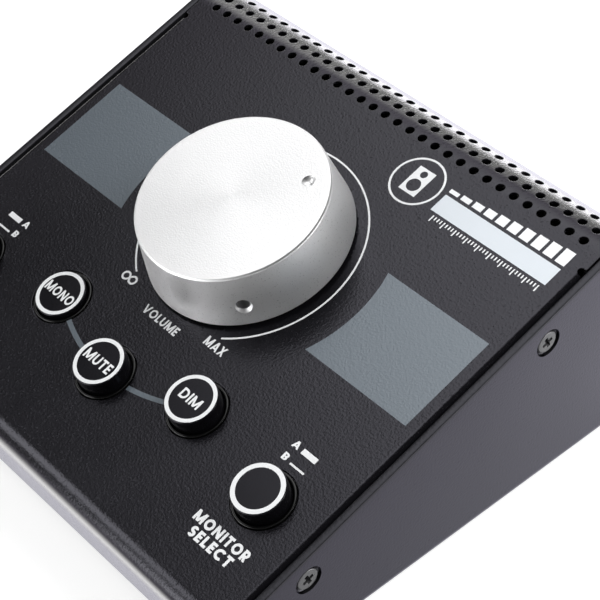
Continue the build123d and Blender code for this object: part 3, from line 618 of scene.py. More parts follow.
def from_curve(curve):
    """Bmesh of a filled and thickened curve."""
    holder = bpy.data.objects.new("scratch", curve)
    mesh = bpy.data.meshes.new_from_object(holder)
    shape = bmesh.new()
    shape.from_mesh(mesh)
    bpy.data.objects.remove(holder)
    bpy.data.meshes.remove(mesh)
    bmesh.ops.remove_doubles(shape, verts=shape.verts, dist=MERGE)
    return shape


print("edges sharper than", SHARP_ANGLE, "degrees stay sharp")

# %% [markdown]
# Sheet metal starts as a flat blank with its holes punched, then is folded. Making it the same
# way here gives every hole edge a soft rim for free, and holes in a bend curve with it. A flat
# 2D curve with inner loops is the blank: Blender fills it, extrudes it to the sheet's thickness
# and rounds its edges.

# %% Punched blanks
EDGE_SOFTNESS = 0.12
ACROSS = Vector((1, 0, 0))
ALONG = Vector((0, 1, 0))


def circle(x, y, radius, count=24):
    """Points of a circle."""
    return [(x + radius * cos(tau * k / count), y + radius * sin(tau * k / count)) for k in range(count)]


def arc(x, y, radius, start, end, count):
    """Points of an arc, angles in degrees counted from +x towards +y."""
    angles = [radians(start + (end - start) * k / count) for k in range(count + 1)]
    return [(x + radius * cos(angle), y + radius * sin(angle)) for angle in angles]


def plate(loops, bottom, top, softness=0.0):
    """Flat plate bounded by loops of points, between two heights, with softened edges."""
    curve = bpy.data.curves.new("plate", "CURVE")
    curve.dimensions = "2D"
    curve.fill_mode = "BOTH"
    curve.extrude = (top - bottom) / 2 - softness
    curve.bevel_depth = softness
    curve.bevel_resolution = 1
    curve.offset = -softness
    for loop in loops:
        spline = curve.splines.new("POLY")
        spline.points.add(len(loop) - 1)
        for point, (x, y) in zip(spline.points, loop):
            point.co = (x, y, 0, 1)
        spline.use_cyclic_u = True
    shape = from_curve(curve)
    bmesh.ops.translate(shape, verts=shape.verts, vec=(0, 0, (top + bottom) / 2))
    return shape


def cut_lines(shape, direction, start, reach, count):
    """Scores the blank across a direction, evenly over the reach that is to bend."""
    for k in range(count + 1):
        place = direction * (start + reach * k / count)
        geometry = shape.verts[:] + shape.edges[:] + shape.faces[:]
        bmesh.ops.bisect_plane(shape, geom=geometry, plane_co=place, plane_no=direction, dist=1e-4)


def bend(radius, height, distance, full_turn):
    """Across and along shift of a point after a bend it starts: radius is the outer one."""
    turn = min(distance / radius, full_turn)
    past = max(distance - radius * full_turn, 0)
    reach = radius + height
    along = reach * sin(turn) + past * cos(turn)
    across = reach * cos(turn) - radius - past * sin(turn)
    return along, across


print("blank tools ready")

# %% [markdown]
# The cover is one strip: front face, panel, rear bend with three rows of vents, and rear face,
# with a flange folded down at each side. Small round notches part the flanges from the strip.

# %% Cover
PANEL_FRONT = -63.8
COVER_HALF = 65.3
COVER_SHEET = 1.2
FRONT_BEND = 5.0
REAR_BEND = 13.4
REAR_BEND_START = 47.25
REAR_TURN = radians(90) + SLOPE
FLANGE_BEND = 1.5
FLANGE_DEPTH = 14.0
FLANGE_CORNER = 2.0
NOTCH = 0.8
FLANGE_FRONT, FLANGE_REAR = -57.0, 43.0
UNDERSIDE = 3.5
BUTTONS = {"mono": (-23.7, -30.7), "mute": (0.0, -37.2), "dim": (23.7, -30.7),
           "source": (-50.7, -35.9), "monitor": (50.7, -35.9)}
SIDE_SCREWS = [(27.7, -6.2), (-41.2, -6.2)]
BUTTON_HOLE = 7.15
SHAFT_HOLE = 4.6
KEY_HOLE = (-7.0, 1.1)
NUT_HOLE = 2.7
VENT_PITCH = 3.98
VENT_COLUMNS = 31
VENT_RADIUS = 1.05
VENT_ANGLES = [radians(degree) for degree in (4.8, 21.9, 39.0)]
JACK_COUNT = 8
JACK_PITCH = 15.0
JACK_X = [(index - (JACK_COUNT - 1) / 2) * JACK_PITCH for index in range(JACK_COUNT)]
JACK_Z = 19.5
JACK_HOLE = 4.8
FLANGE_CUTS = 8
FRONT_CUTS = 20
REAR_CUTS = 40

panel_y = PANEL_ORIGIN.y / MM
panel_z = PANEL_ORIGIN.z / MM
flange_fold = COVER_HALF - FLANGE_BEND
front_fold = PANEL_FRONT + FRONT_BEND
front_height = (panel_z - UNDERSIDE + PANEL_FRONT * sin(SLOPE)) / cos(SLOPE)
front_bottom = front_fold - FRONT_BEND * pi / 2 - (front_height - FRONT_BEND)
rear_fold_end = REAR_BEND_START + REAR_BEND * REAR_TURN
rear_top = panel_z + REAR_BEND_START * sin(SLOPE) - REAR_BEND * cos(SLOPE)
rear_bottom = rear_fold_end + rear_top - UNDERSIDE


def cover_outline():
    """Edge of the flat blank, counted along the outer skin."""
    tip = flange_fold + FLANGE_BEND * pi / 2 + FLANGE_DEPTH - FLANGE_BEND
    corner, inset = tip - FLANGE_CORNER, 2 * NOTCH + FLANGE_CORNER
    side = [(COVER_HALF, front_bottom), (COVER_HALF, FLANGE_FRONT)]
    side += arc(flange_fold + NOTCH, FLANGE_FRONT + NOTCH, NOTCH, 270, 90, 12)
    side += arc(corner, FLANGE_FRONT + inset, FLANGE_CORNER, 270, 360, 6)
    side += arc(corner, FLANGE_REAR - inset, FLANGE_CORNER, 0, 90, 6)
    side += arc(flange_fold + NOTCH, FLANGE_REAR - NOTCH, NOTCH, 270, 90, 12)
    side += [(COVER_HALF, FLANGE_REAR), (COVER_HALF, rear_bottom)]
    return side + [(-x, y) for x, y in reversed(side)]


def cover_holes():
    """Every hole of the blank: buttons, shaft, vents, jacks and flange nuts."""
    key_x, key_radius = KEY_HOLE
    holes = [circle(x, y, BUTTON_HOLE, 48) for x, y in BUTTONS.values()]
    holes += [circle(0, KNOB_UP, SHAFT_HOLE, 32), circle(key_x, KNOB_UP, key_radius, 16)]
    for angle in VENT_ANGLES:
        row = REAR_BEND_START + REAR_BEND * angle
        holes += [circle((k - (VENT_COLUMNS - 1) / 2) * VENT_PITCH, row, VENT_RADIUS)
                  for k in range(VENT_COLUMNS)]
    jack_line = rear_fold_end + rear_top - JACK_Z
    holes += [circle(x, jack_line, JACK_HOLE, 32) for x in JACK_X]
    out = flange_fold + FLANGE_BEND * pi / 2 - FLANGE_BEND
    holes += [circle(side * (out - depth), along, NUT_HOLE) for side in (-1, 1)
              for along, depth in SIDE_SCREWS]
    return holes


def on_flange(x, along):
    """Whether a place on the cover belongs to a side flange."""
    return abs(x) > flange_fold and FLANGE_FRONT + NOTCH <= along <= FLANGE_REAR - NOTCH


def fold_cover(x, along, height):
    """Flat blank to panel frame: across, up the slope, out."""
    if on_flange(x, along):
        reach, drop = bend(FLANGE_BEND, height, abs(x) - flange_fold, pi / 2)
        return copysign(flange_fold + reach, x), along, drop
    if along < front_fold:
        reach, drop = bend(FRONT_BEND, height, front_fold - along, pi / 2)
        return x, front_fold - reach, drop
    if along > REAR_BEND_START:
        reach, drop = bend(REAR_BEND, height, along - REAR_BEND_START, REAR_TURN)
        return x, REAR_BEND_START + reach, drop
    return x, along, height


def cover_skin(point):
    """Outward direction of the cover at a point of the panel frame."""
    x, y, z = point
    if on_flange(x, y):
        return Vector((x - copysign(flange_fold, x), 0, max(z + FLANGE_BEND, 0))).normalized()
    if y < front_fold:
        return Vector((0, y - front_fold, max(z + FRONT_BEND, 0))).normalized()
    if y > REAR_BEND_START:
        turn = min(atan2(y - REAR_BEND_START, z + REAR_BEND), REAR_TURN)
        return Vector((0, sin(turn), cos(turn)))
    return Vector((0, 0, 1))


def make_cover():
    """Cuts, scores and folds the cover."""
    shape = plate([cover_outline()] + cover_holes(), -COVER_SHEET, 0, EDGE_SOFTNESS)
    for side in (-1, 1):
        cut_lines(shape, ACROSS, side * flange_fold, side * FLANGE_BEND * pi / 2, FLANGE_CUTS)
    cut_lines(shape, ALONG, front_fold, -FRONT_BEND * pi / 2, FRONT_CUTS)
    cut_lines(shape, ALONG, REAR_BEND_START, REAR_BEND * REAR_TURN, REAR_CUTS)
    for vertex in shape.verts:
        vertex.co = fold_cover(*vertex.co)
    return shape


cover = add_piece("cover", make_cover(), PANEL, "case", COVER_PAINT, skin=cover_skin)
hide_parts("top_cover")
print("cover", len(cover.data.polygons), "faces; blank", round(rear_bottom - front_bottom, 2), "mm long")

# %% [markdown]
# The tray is the thicker sheet outside the cover: a floor with a side wall folded up at each
# end. The walls follow the cover's outline, so their edge is drawn in the same panel measures
# and laid out flat beyond the fold.

# %% Tray
CASE_HALF = 67.5
TRAY_SHEET = 2.0
TRAY_FOLD = 2.4
TRAY_SOFTNESS = 0.5
FLOOR_INSET = 1.4
FOOT_X = 53.0
FOOT_LINES = (-44.0, 50.0)
SCREW_CLEAR = 1.7
CORNER_STEP = 0.2
TRAY_CUTS = 10
tray_fold = CASE_HALF - TRAY_FOLD
wall_start = tray_fold + TRAY_FOLD * pi / 2
rear_y = panel_y + REAR_BEND_START * cos(SLOPE) + REAR_BEND * sin(SLOPE) + REAR_BEND


def in_row(up, out):
    """Row (y, z) of a point given up the slope and out of the panel."""
    return panel_y + up * cos(SLOPE) - out * sin(SLOPE), panel_z + up * sin(SLOPE) + out * cos(SLOPE)


def spread(height):
    """Distance across the flat tray at which a height is reached."""
    lift = height - UNDERSIDE
    if lift >= TRAY_FOLD:
        return wall_start + lift - TRAY_FOLD
    return tray_fold + TRAY_FOLD * acos(1 - lift / TRAY_FOLD)


def front_at(height):
    """Row y of the leaning front face at a height."""
    return in_row(PANEL_FRONT, 0)[0] - (height - in_row(PANEL_FRONT, 0)[1]) * sin(SLOPE) / cos(SLOPE)


def tray_outline():
    """Edge of the flat tray."""
    heights = [UNDERSIDE + TRAY_FOLD * (1 - cos(radians(90) * k / 6)) for k in range(7)]
    side = [(tray_fold + CORNER_STEP, front_at(UNDERSIDE) + FLOOR_INSET / cos(SLOPE))]
    side += [(spread(z) + CORNER_STEP * (z == UNDERSIDE), front_at(z)) for z in heights]
    outline = arc(front_fold, -FRONT_BEND, FRONT_BEND, 180, 90, 16)
    outline += arc(REAR_BEND_START, -REAR_BEND, REAR_BEND, 90, 90 - degrees(REAR_TURN), 30)
    side += [(spread(z), y) for y, z in (in_row(*point) for point in outline)]
    corner = spread(UNDERSIDE) + CORNER_STEP
    side += [(corner, rear_y), (tray_fold + CORNER_STEP, rear_y - FLOOR_INSET)]
    return side + [(-x, y) for x, y in reversed(side)]


def fold_tray(across, along, height):
    """Flat tray to row millimetres."""
    reach, rise = bend(TRAY_FOLD, height, max(abs(across) - tray_fold, 0), pi / 2)
    if abs(across) <= tray_fold:
        return across, along, UNDERSIDE - height
    return copysign(tray_fold + reach, across), along, UNDERSIDE - rise


def side_screw_places():
    """Matrix of each side screw in row millimetres: local Z points out of the wall."""
    for side in (-1, 1):
        for along, out in SIDE_SCREWS:
            y, z = in_row(along, out)
            yield Matrix.Translation((side * CASE_HALF, y, z)) @ Matrix.Rotation(side * pi / 2, 4, "Y")


def make_tray():
    """Cuts, scores and folds the tray."""
    feet = [circle(side * FOOT_X, panel_y + line, SCREW_CLEAR) for side in (-1, 1) for line in FOOT_LINES]
    shape = plate([tray_outline()] + feet, -TRAY_SHEET, 0, TRAY_SOFTNESS)
    for side in (-1, 1):
        cut_lines(shape, ACROSS, side * tray_fold, side * (wall_start - tray_fold), TRAY_CUTS)
    for vertex in shape.verts:
        vertex.co = fold_tray(*vertex.co)
    return shape


print("tray blank", round(2 * spread(in_row(REAR_BEND_START, 0)[1]), 1), "mm across")

# %% [markdown]
# The knob is a turned part, so it is drawn as half of its own section and spun about its axis.
# Corners of the section are eased first, because a lathe tool never leaves them quite sharp. The
# spin also writes a UV map that runs round the knob: the metal's stretched highlights follow it.

# %% Turned parts
def eased(section, radius, steps=4):
    """Section with its corners rounded: each corner becomes a short curve."""
    points = []
    count = len(section)
    for k, corner in enumerate(section):
        corner = Vector(corner)
        if corner.x < 1e-6:
            points.append(corner)
            continue
        before, after = Vector(section[k - 1]) - corner, Vector(section[(k + 1) % count]) - corner
        reach = min(radius, before.length * 0.45, after.length * 0.45)
        start, end = corner + before.normalized() * reach, corner + after.normalized() * reach
        for step in range(steps + 1):
            share = step / steps
            points.append(start * (1 - share) ** 2 + corner * 2 * share * (1 - share) + end * share ** 2)
    return points


def turned(section, count=96):
    """Solid spun about Z from (radius, height) points, with a UV map that runs round it."""
    shape = bmesh.new()
    around = shape.loops.layers.uv.new("around")
    rings = []
    for radius, height in section:
        if radius < 1e-6:
            rings.append([shape.verts.new((0, 0, height))] * count)
        else:
            rings.append([shape.verts.new((x, y, height)) for x, y in circle(0, 0, radius, count)])
    for row, (first, second) in enumerate(zip(rings, rings[1:] + rings[:1])):
        if first[0] is first[1] and second[0] is second[1]:
            continue
        for k in range(count):
            after = (k + 1) % count
            corners = [(first[k], k, row), (first[after], k + 1, row),
                       (second[after], k + 1, row + 1), (second[k], k, row + 1)]
            face = shape.faces.new(dict.fromkeys(corner[0] for corner in corners))
            places = {corner[0]: (corner[1] / count, corner[2] / len(section)) for corner in corners}
            for loop in face.loops:
                loop[around].uv = places[loop.vert]
    return shape


def cut_from(shape, tools):
    """Subtracts closed tool shapes from a shape."""
    objects = []
    for part in [shape] + tools:
        mesh = bpy.data.meshes.new("scratch")
        bmesh.ops.recalc_face_normals(part, faces=part.faces)
        part.to_mesh(mesh)
        part.free()
        objects.append(add_object("scratch", mesh))
    body = objects[0]
    for tool in objects[1:]:
        modifier = body.modifiers.new("cut", "BOOLEAN")
        modifier.operation = "DIFFERENCE"
        modifier.solver = "EXACT"
        modifier.object = tool
    evaluated = body.evaluated_get(bpy.context.evaluated_depsgraph_get())
    result = bmesh.new()
    result.from_mesh(evaluated.to_mesh())
    for item in objects:
        mesh = item.data
        bpy.data.objects.remove(item)
        bpy.data.meshes.remove(mesh)
    return result


def drop_into(shape, part, place):
    """Adds a copy of one shape to another at a place."""
    mesh = bpy.data.meshes.new("scratch")
    part.to_mesh(mesh)
    mesh.transform(place)
    shape.from_mesh(mesh)
    bpy.data.meshes.remove(mesh)


print("lathe ready")

# %% [markdown]
# The side screws sit in sinks: a short straight wall, then a cone, then the bore. The sinks are
# cut from the folded tray. Each screw is a turned head with a cross cut into it, and its flat
# face lies a little below the wall's.

# %% Tray with its sinks, and the side screws
SINK_RADIUS = 3.3
SINK_WALL = 0.9
HEAD_RADIUS = 2.6
HEAD_EDGE = 0.9
HEAD_SUNK = 0.2
HEAD_ROUND = 0.35
SHANK = 1.5
SHANK_END = 9.0
CROSS = (3.1, 0.95, 1.5)  # length, width, depth
WING_FOOT, WING_MOUTH = 0.45, 1.12  # share of its length at the bottom and at the mouth
WING_TOP = 0.6
CROSS_TURN = radians(20)


def sink_tool():
    """Closed bore, cone and straight wall to cut away."""
    deep, above = -TRAY_SHEET - 1, 0.5
    cone_foot = SCREW_CLEAR - SINK_RADIUS - SINK_WALL / 2
    return turned([(0, deep), (SCREW_CLEAR, deep), (SCREW_CLEAR, cone_foot),
                   (SINK_RADIUS, -SINK_WALL), (SINK_RADIUS, above), (0, above)], 48)


def cross_tool(turn):
    """One tapered wing of the driver's cross."""
    length, width, depth = CROSS
    wing = bmesh.new()
    for height, share in ((-depth - HEAD_SUNK, WING_FOOT), (WING_TOP, WING_MOUTH)):
        half_x, half_y = length / 2 * share, width / 2 * (0.7 + 0.3 * share)
        for x, y in ((-half_x, -half_y), (half_x, -half_y), (half_x, half_y), (-half_x, half_y)):
            wing.verts.new((x, y, height))
    wing.verts.ensure_lookup_table()
    for face in ((3, 2, 1, 0), (4, 5, 6, 7), (0, 1, 5, 4), (1, 2, 6, 5), (2, 3, 7, 6), (3, 0, 4, 7)):
        wing.faces.new([wing.verts[k] for k in face])
    wing.transform(Matrix.Rotation(turn, 4, "Z"))
    return wing


def screw_head():
    """Countersunk screw with a rounded rim and a driver's cross."""
    section = [(0, -SHANK_END), (SHANK, -SHANK_END), (SHANK, SHANK - HEAD_RADIUS - HEAD_EDGE),
               (HEAD_RADIUS, -HEAD_EDGE)]
    section += arc(HEAD_RADIUS - HEAD_ROUND, -HEAD_SUNK - HEAD_ROUND, HEAD_ROUND, 0, 90, 3)
    section += [(0, -HEAD_SUNK)]
    return cut_from(turned(section, 64), [cross_tool(CROSS_TURN), cross_tool(CROSS_TURN + pi / 2)])


tools = []
for place in side_screw_places():
    tools.append(sink_tool())
    tools[-1].transform(place)
tray = add_piece("tray", cut_from(make_tray(), tools), ROW, "case", TRAY_PAINT)
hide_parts("base_tray")
head, screws = screw_head(), bmesh.new()
for place in side_screw_places():
    drop_into(screws, head, place)
head.free()
side_screws = add_piece("side_screws", screws, ROW, "case", plain["black_screw"])
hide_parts("cover_screws")
print("tray", len(tray.data.polygons), "faces; screws", len(side_screws.data.polygons), "faces")

# %% [markdown]
# The knob itself: a slightly tapered skirt, a flat top with a broken edge, a small shallow
# dimple for a pointer and a sunk hole for the set screw at its side. Underneath it is hollow
# around a hub, so it looks right from below as well. Pairs are radius and height.

# %% Volume knob
KNOB_BASE = (23.9, 1.0)
KNOB_TOP = (22.0, 14.85)
KNOB_EDGE = 0.35
KNOB_WELL = (9.0, 5.4)
KNOB_HUB = (11.5, 12.0)
KNOB_SKIRT = (20.5, 19.5)
GROOVE_TOP = 9.0
SHAFT_BORE = (3.02, 12.2)
OUTSIDE_EDGE = (0.12, 3)  # easing, segments
INSIDE_EDGE = (0.05, 1)
KNOB_COUNT = 256
POINTER_TURN = radians(41.5)
POINTER_REACH = 16.9
DIMPLE = (1.5, 0.12, 0.62)  # radius, straight lip, depth of the cone
GRUB_HOLE = (1.55, 2.3, 6.6)  # bore, mouth, height above the panel
GRUB_SINK = 0.4
CUT_COUNT = 40


def make_knob():
    """Turned knob with its dimple and set-screw hole."""
    base_radius, base = KNOB_BASE
    top_radius, top = KNOB_TOP
    well_radius, well_top = KNOB_WELL
    outside = [(0, top), (top_radius - KNOB_EDGE, top), (top_radius, top - KNOB_EDGE), (base_radius, base)]
    inside = [(KNOB_SKIRT[0], base), (KNOB_SKIRT[1], GROOVE_TOP), (KNOB_HUB[1], GROOVE_TOP),
              (KNOB_HUB[0], base), (well_radius, base), (well_radius, well_top),
              (SHAFT_BORE[0], well_top), (SHAFT_BORE[0], SHAFT_BORE[1]), (0, SHAFT_BORE[1])]
    body = turned(eased(outside, *OUTSIDE_EDGE) + eased(inside, *INSIDE_EDGE), KNOB_COUNT)
    radius, lip, cone = DIMPLE
    rim = top - lip
    dimple = turned([(0, rim - cone), (radius * 0.35, rim - cone * 0.8), (radius - 0.1, rim - 0.05),
                     (radius, rim + 0.05), (radius, top + 1), (0, top + 1)], CUT_COUNT)
    away = Vector((sin(POINTER_TURN), cos(POINTER_TURN), 0)) * POINTER_REACH
    bmesh.ops.translate(dimple, verts=dimple.verts, vec=away)
    bore, mouth, level = GRUB_HOLE
    surface, past = base_radius - GRUB_SINK, base_radius - GRUB_SINK + 3
    drill = turned([(0, 2), (bore, 2), (bore, surface + bore - mouth), (mouth, surface), (mouth, past),
                    (0, past)], CUT_COUNT)
    drill.transform(Matrix.Translation((0, 0, level)) @ Matrix.Rotation(-POINTER_TURN - pi / 2, 4, "Z")
                    @ Matrix.Rotation(-pi / 2, 4, "X"))
    return cut_from(body, [dimple, drill])


knob = add_piece("knob", make_knob(), on_panel(0, KNOB_UP), "volume", KNOB_METAL)
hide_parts("volume_knob")
print("knob", len(knob.data.polygons), "faces")

# %% [markdown]
# Printing is modelled as film: flat shapes a few hundredths of a millimetre thick. A sign painter
# builds a letter from strokes that overlap. The same is done here: every stroke is an outline,
# and a two-dimensional triangulation melts the overlapping outlines into one clean shape.

# %% Ink film from outlines
FILM = 0.03
INSIDE_ONLY = 1
printed = []


def film(outlines):
    """Film of ink that covers all the given outlines, lists of (x, y)."""
    points, loops = [], []
    for outline in outlines:
        start = len(points)
        points += [Vector(point) for point in outline]
        loop = list(range(start, len(points)))
        turns = sum(points[k].cross(points[k - 1]) if k > start else points[k].cross(points[-1])
                    for k in loop)
        loops.append(loop if turns < 0 else loop[::-1])
    corners, _, faces, _, _, sources = delaunay_2d_cdt(points, [], loops, INSIDE_ONLY, MERGE)
    shape = bmesh.new()
    verts = [shape.verts.new((corner.x, corner.y, FILM)) for corner in corners]
    for face, source in zip(faces, sources):
        if source:
            shape.faces.new([verts[k] for k in face])
    bmesh.ops.delete(shape, geom=[vert for vert in verts if not vert.link_faces], context="VERTS")
    bmesh.ops.recalc_face_normals(shape, faces=shape.faces)
    if shape.faces[:] and shape.faces[:][0].normal.z < 0:
        bmesh.ops.reverse_faces(shape, faces=shape.faces)
    bmesh.ops.solidify(shape, geom=shape.faces[:], thickness=FILM)
    return shape


def print_on_panel(name, shape, ink, body="case", place=PANEL):
    """Adds a film of ink."""
    piece = add_piece(name, shape, place, body, ink)
    printed.append(name)
    return piece


def band(radius, width, start, end, count):
    """Curved stripe about the knob, angles clockwise from straight up."""
    outer = arc(0, KNOB_UP, radius + width / 2, 90 - start, 90 - end, count)
    inner = arc(0, KNOB_UP, radius - width / 2, 90 - end, 90 - start, count)
    return film([outer + inner])


def box(left, low, right, high):
    """Outline of an upright rectangle."""
    return [(left, low), (right, low), (right, high), (left, high)]


print("film", FILM, "mm thick")

# %% [markdown]
# The letters are plain round capitals, each a handful of straight and round strokes in a cell one
# unit high. A straight stroke is cut level at both ends, so slanting strokes end flush with the
# line of writing.

# %% Stroke letters
LETTER_GAP = 0.17
STROKE_CUTS = 20


def bar(x0, y0, x1, y1, width):
    """Straight stroke, cut level, or square if it runs level."""
    if y0 == y1:
        return box(x0, y0 - width / 2, x1, y0 + width / 2)
    half = width / 2 * hypot(x1 - x0, y1 - y0) / abs(y1 - y0)
    return [(x0 - half, y0), (x0 + half, y0), (x1 + half, y1), (x1 - half, y1)]


def bow(x, y, radius, start, end, width):
    """Round stroke: a piece of a ring."""
    return (arc(x, y, radius + width / 2, start, end, STROKE_CUTS)
            + arc(x, y, radius - width / 2, end, start, STROKE_CUTS))


def letter(sign, w):
    """Width and strokes of one capital, one unit high, for a stroke width."""
    h, big, small = w / 2, 0.5 - w / 2, 0.25 - w / 4
    waist = 0.5 - w / 8
    leg = waist - 0.04
    low_bowl, high_bowl = (waist - h) / 2, (1 - h - waist) / 2

    def line(*ends):
        return bar(*ends, w)

    def curve(*course):
        return bow(*course, w)

    stem = line(h, 0, h, 1)
    shapes = {
        "A": (0.96, [line(h, 0, 0.48, 1), line(0.96 - h, 0, 0.48, 1),
                     bar(0.2, 0.28, 0.76, 0.28, w * 0.9)]),
        "B": (0.62, [stem, line(h, h, 0.3, h), line(h, waist, 0.3, waist),
                     line(h, 1 - h, 0.3, 1 - h), curve(0.3, h + low_bowl, low_bowl, -90, 90),
                     curve(0.28, waist + high_bowl, high_bowl, -90, 90)]),
        "C": (0.88, [curve(0.5, 0.5, big, 48, 312)]),
        "D": (0.86, [stem, line(h, h, 0.36, h), line(h, 1 - h, 0.36, 1 - h),
                     curve(0.36, 0.5, big, -90, 90)]),
        "E": (0.56, [stem, line(h, h, 0.56, h), line(h, 0.5, 0.52, 0.5),
                     line(h, 1 - h, 0.56, 1 - h)]),
        "I": (w, [stem]),
        "L": (0.54, [stem, line(h, h, 0.54, h)]),
        "M": (1.08, [stem, line(1.08 - h, 0, 1.08 - h, 1), line(h, 1, 0.54, 0.04),
                     line(1.08 - h, 1, 0.54, 0.04)]),
        "N": (0.86, [stem, line(0.86 - h, 0, 0.86 - h, 1), line(h, 1, 0.86 - h, 0)]),
        "O": (1.0, [curve(0.5, 0.5, big, 0, 180), curve(0.5, 0.5, big, 180, 360)]),
        "R": (0.66, [stem, line(h, 1 - h, 0.32, 1 - h), line(h, leg, 0.32, leg),
                     curve(0.32, (1 - h + leg) / 2, (1 - h - leg) / 2, -90, 90),
                     line(0.32, waist, 0.62 - h, 0)]),
        "S": (0.62, [curve(0.31, 0.5 + small, small, 25, 270), curve(0.31, 0.5 - small, small, -155, 90)]),
        "T": (0.68, [line(0, 1 - h, 0.68, 1 - h), line(0.34, 0, 0.34, 1)]),
        "U": (0.80, [line(h, 0.4, h, 1), line(0.8 - h, 0.4, 0.8 - h, 1),
                     curve(0.4, 0.4, 0.4 - h, 180, 360)]),
        "V": (0.94, [line(0.47, 0, h, 1), line(0.47, 0, 0.94 - h, 1)]),
        "X": (0.86, [line(h, 0, 0.86 - h, 1), line(0.86 - h, 0, h, 1)]),
    }
    return shapes[sign]


def lettering(text, x, y, width, height, stroke):
    """Word centred on a point, with the measured width, height and stroke."""
    outlines, reach = [], 0.0
    for sign in text:
        wide, strokes = letter(sign, stroke / height)
        outlines += [[(reach + px, py) for px, py in outline] for outline in strokes]
        reach += wide + LETTER_GAP
    reach -= LETTER_GAP
    return film([[(x + (px / reach - 0.5) * width, y + (py - 0.5) * height) for px, py in outline]
                 for outline in outlines])


print("letters ready;", len(letter("M", 0.2)[1]), "strokes in an M")

# %% [markdown]
# The volume scale is a fine open ring with its two ends marked, as on most mixers. The sign for
# no sound is the lying figure of eight of an endless loss: two round loops, like pulleys, and
# two straight strokes that cross between them like a crossed belt.

# %% Volume scale
VOLUME_RING = (26.5, 0.42)  # radius, width
VOLUME_REACH = 146.4
VOLUME_CUTS = 120
VOLUME_WORD = ("VOLUME", 0.0, -20.8, 11.3, 2.2, 0.46)  # text, x, y, width, height, stroke
MAX_WORD = ("MAX", 15.15, -17.85, 6.1, 2.3, 0.50)
INFINITY_AT = (-14.7, -17.8)
LOOP_RADIUS = 0.95
LOOP_APART = 1.12
LOOP_STROKE = 0.50


def stroke(start, end, width):
    """Straight stroke with square ends."""
    start, end = Vector(start), Vector(end)
    along = (end - start).normalized()
    across = Vector((-along.y, along.x)) * width / 2
    return [start - across, end - across, end + across, start + across]


def infinity_sign(x, y):
    """Lying figure of eight."""
    opening = degrees(acos(LOOP_RADIUS / LOOP_APART))
    left = bow(x - LOOP_APART, y, LOOP_RADIUS, opening, 360 - opening, LOOP_STROKE)
    right = bow(x + LOOP_APART, y, LOOP_RADIUS, opening - 180, 180 - opening, LOOP_STROKE)
    across = LOOP_APART - LOOP_RADIUS * cos(radians(opening))
    rise = LOOP_RADIUS * sin(radians(opening))
    belts = [stroke((x - across, y + rise), (x + across, y - rise), LOOP_STROKE),
             stroke((x - across, y - rise), (x + across, y + rise), LOOP_STROKE)]
    return film([left, right] + belts)


print_on_panel("volume_arc", band(*VOLUME_RING, -VOLUME_REACH, VOLUME_REACH, VOLUME_CUTS), WHITE_INK)
print_on_panel("volume_word", lettering(*VOLUME_WORD), WHITE_INK)
print_on_panel("max_word", lettering(*MAX_WORD), WHITE_INK)
print_on_panel("infinity_sign", infinity_sign(*INFINITY_AT), WHITE_INK)
print("printed", printed)

# %% [markdown]
# Two slate fields flank the knob. Their inner edge follows a circle about the knob's axis.

# %% Slate fields and link band
FIELD_SIDE = 61.6
FIELD_REAR = 17.9
FIELD_FRONT = -6.4
FIELD_ARC = 34.0
LINK_RING = (43.7, 1.15)  # radius, width
LINK_REACH = (9.6, 23.4)
LINK_CUTS = 16


def slate_field(side):
    """Grey field with a hollow inner edge."""
    top, low = [degrees(atan2(line - KNOB_UP, (FIELD_ARC ** 2 - (line - KNOB_UP) ** 2) ** 0.5))
                for line in (FIELD_REAR, FIELD_FRONT)]
    points = [(FIELD_SIDE, FIELD_FRONT), (FIELD_SIDE, FIELD_REAR)]
    points += arc(0, KNOB_UP, FIELD_ARC, top, low, 30)
    return film([[(side * x, y) for x, y in points]])


print_on_panel("slate_field_right", slate_field(1), SLATE_INK)
print_on_panel("slate_field_left", slate_field(-1), SLATE_INK)
for side, tag in ((-1, "left"), (1, "right")):
    start, end = [180 - side * angle for angle in LINK_REACH]
    print_on_panel("link_band_" + tag, band(*LINK_RING, start, end, LINK_CUTS), SLATE_INK)
print("printed", len(printed))

# %% [markdown]
# Beside each select button, a raised and a flat bar show which way the button stands for A and
# for B. The words under the button say what it selects.

# %% Select legends
BAR_REACH = (49.05, 53.25)
BAR_OUT = (-24.1, -22.8)
BAR_IN = (-27.27, -26.8)
A_LETTER = (-23.2, 1.85, 1.75, 0.42)  # up, width, height, stroke
B_LETTER = (-26.5, 1.5, 1.75, 0.40)
A_AT, B_AT = 47.1, 47.2
SELECT_AT = 50.15
SELECT_UP = (-46.9, -50.0)
SELECT_SIZE = (2.5, 0.62)  # height, stroke
SELECT_WIDTH = 12.3
for side, tag, word, width in ((1, "right", "MONITOR", 15.9), (-1, "left", "SOURCE", 14.0)):
    left, right = sorted(side * reach for reach in BAR_REACH)
    top, low = SELECT_UP
    across = side * SELECT_AT
    legends = {
        "bar_out_": film([box(left, BAR_OUT[0], right, BAR_OUT[1])]),
        "bar_in_": film([box(left, BAR_IN[0], right, BAR_IN[1])]),
        "a_letter_": lettering("A", side * A_AT, *A_LETTER),
        "b_letter_": lettering("B", side * B_AT, *B_LETTER),
        "select_top_": lettering(word, across, top, width, *SELECT_SIZE),
        "select_low_": lettering("SELECT", across, low, SELECT_WIDTH, *SELECT_SIZE),
    }
    for name, shape in legends.items():
        print_on_panel(name + tag, shape, WHITE_INK)
print("printed", len(printed))

# %% [markdown]
# A solid pale bar carries nothing, with a loudspeaker sign in a ring beside it. The sign is a
# plain cabinet with two cones.

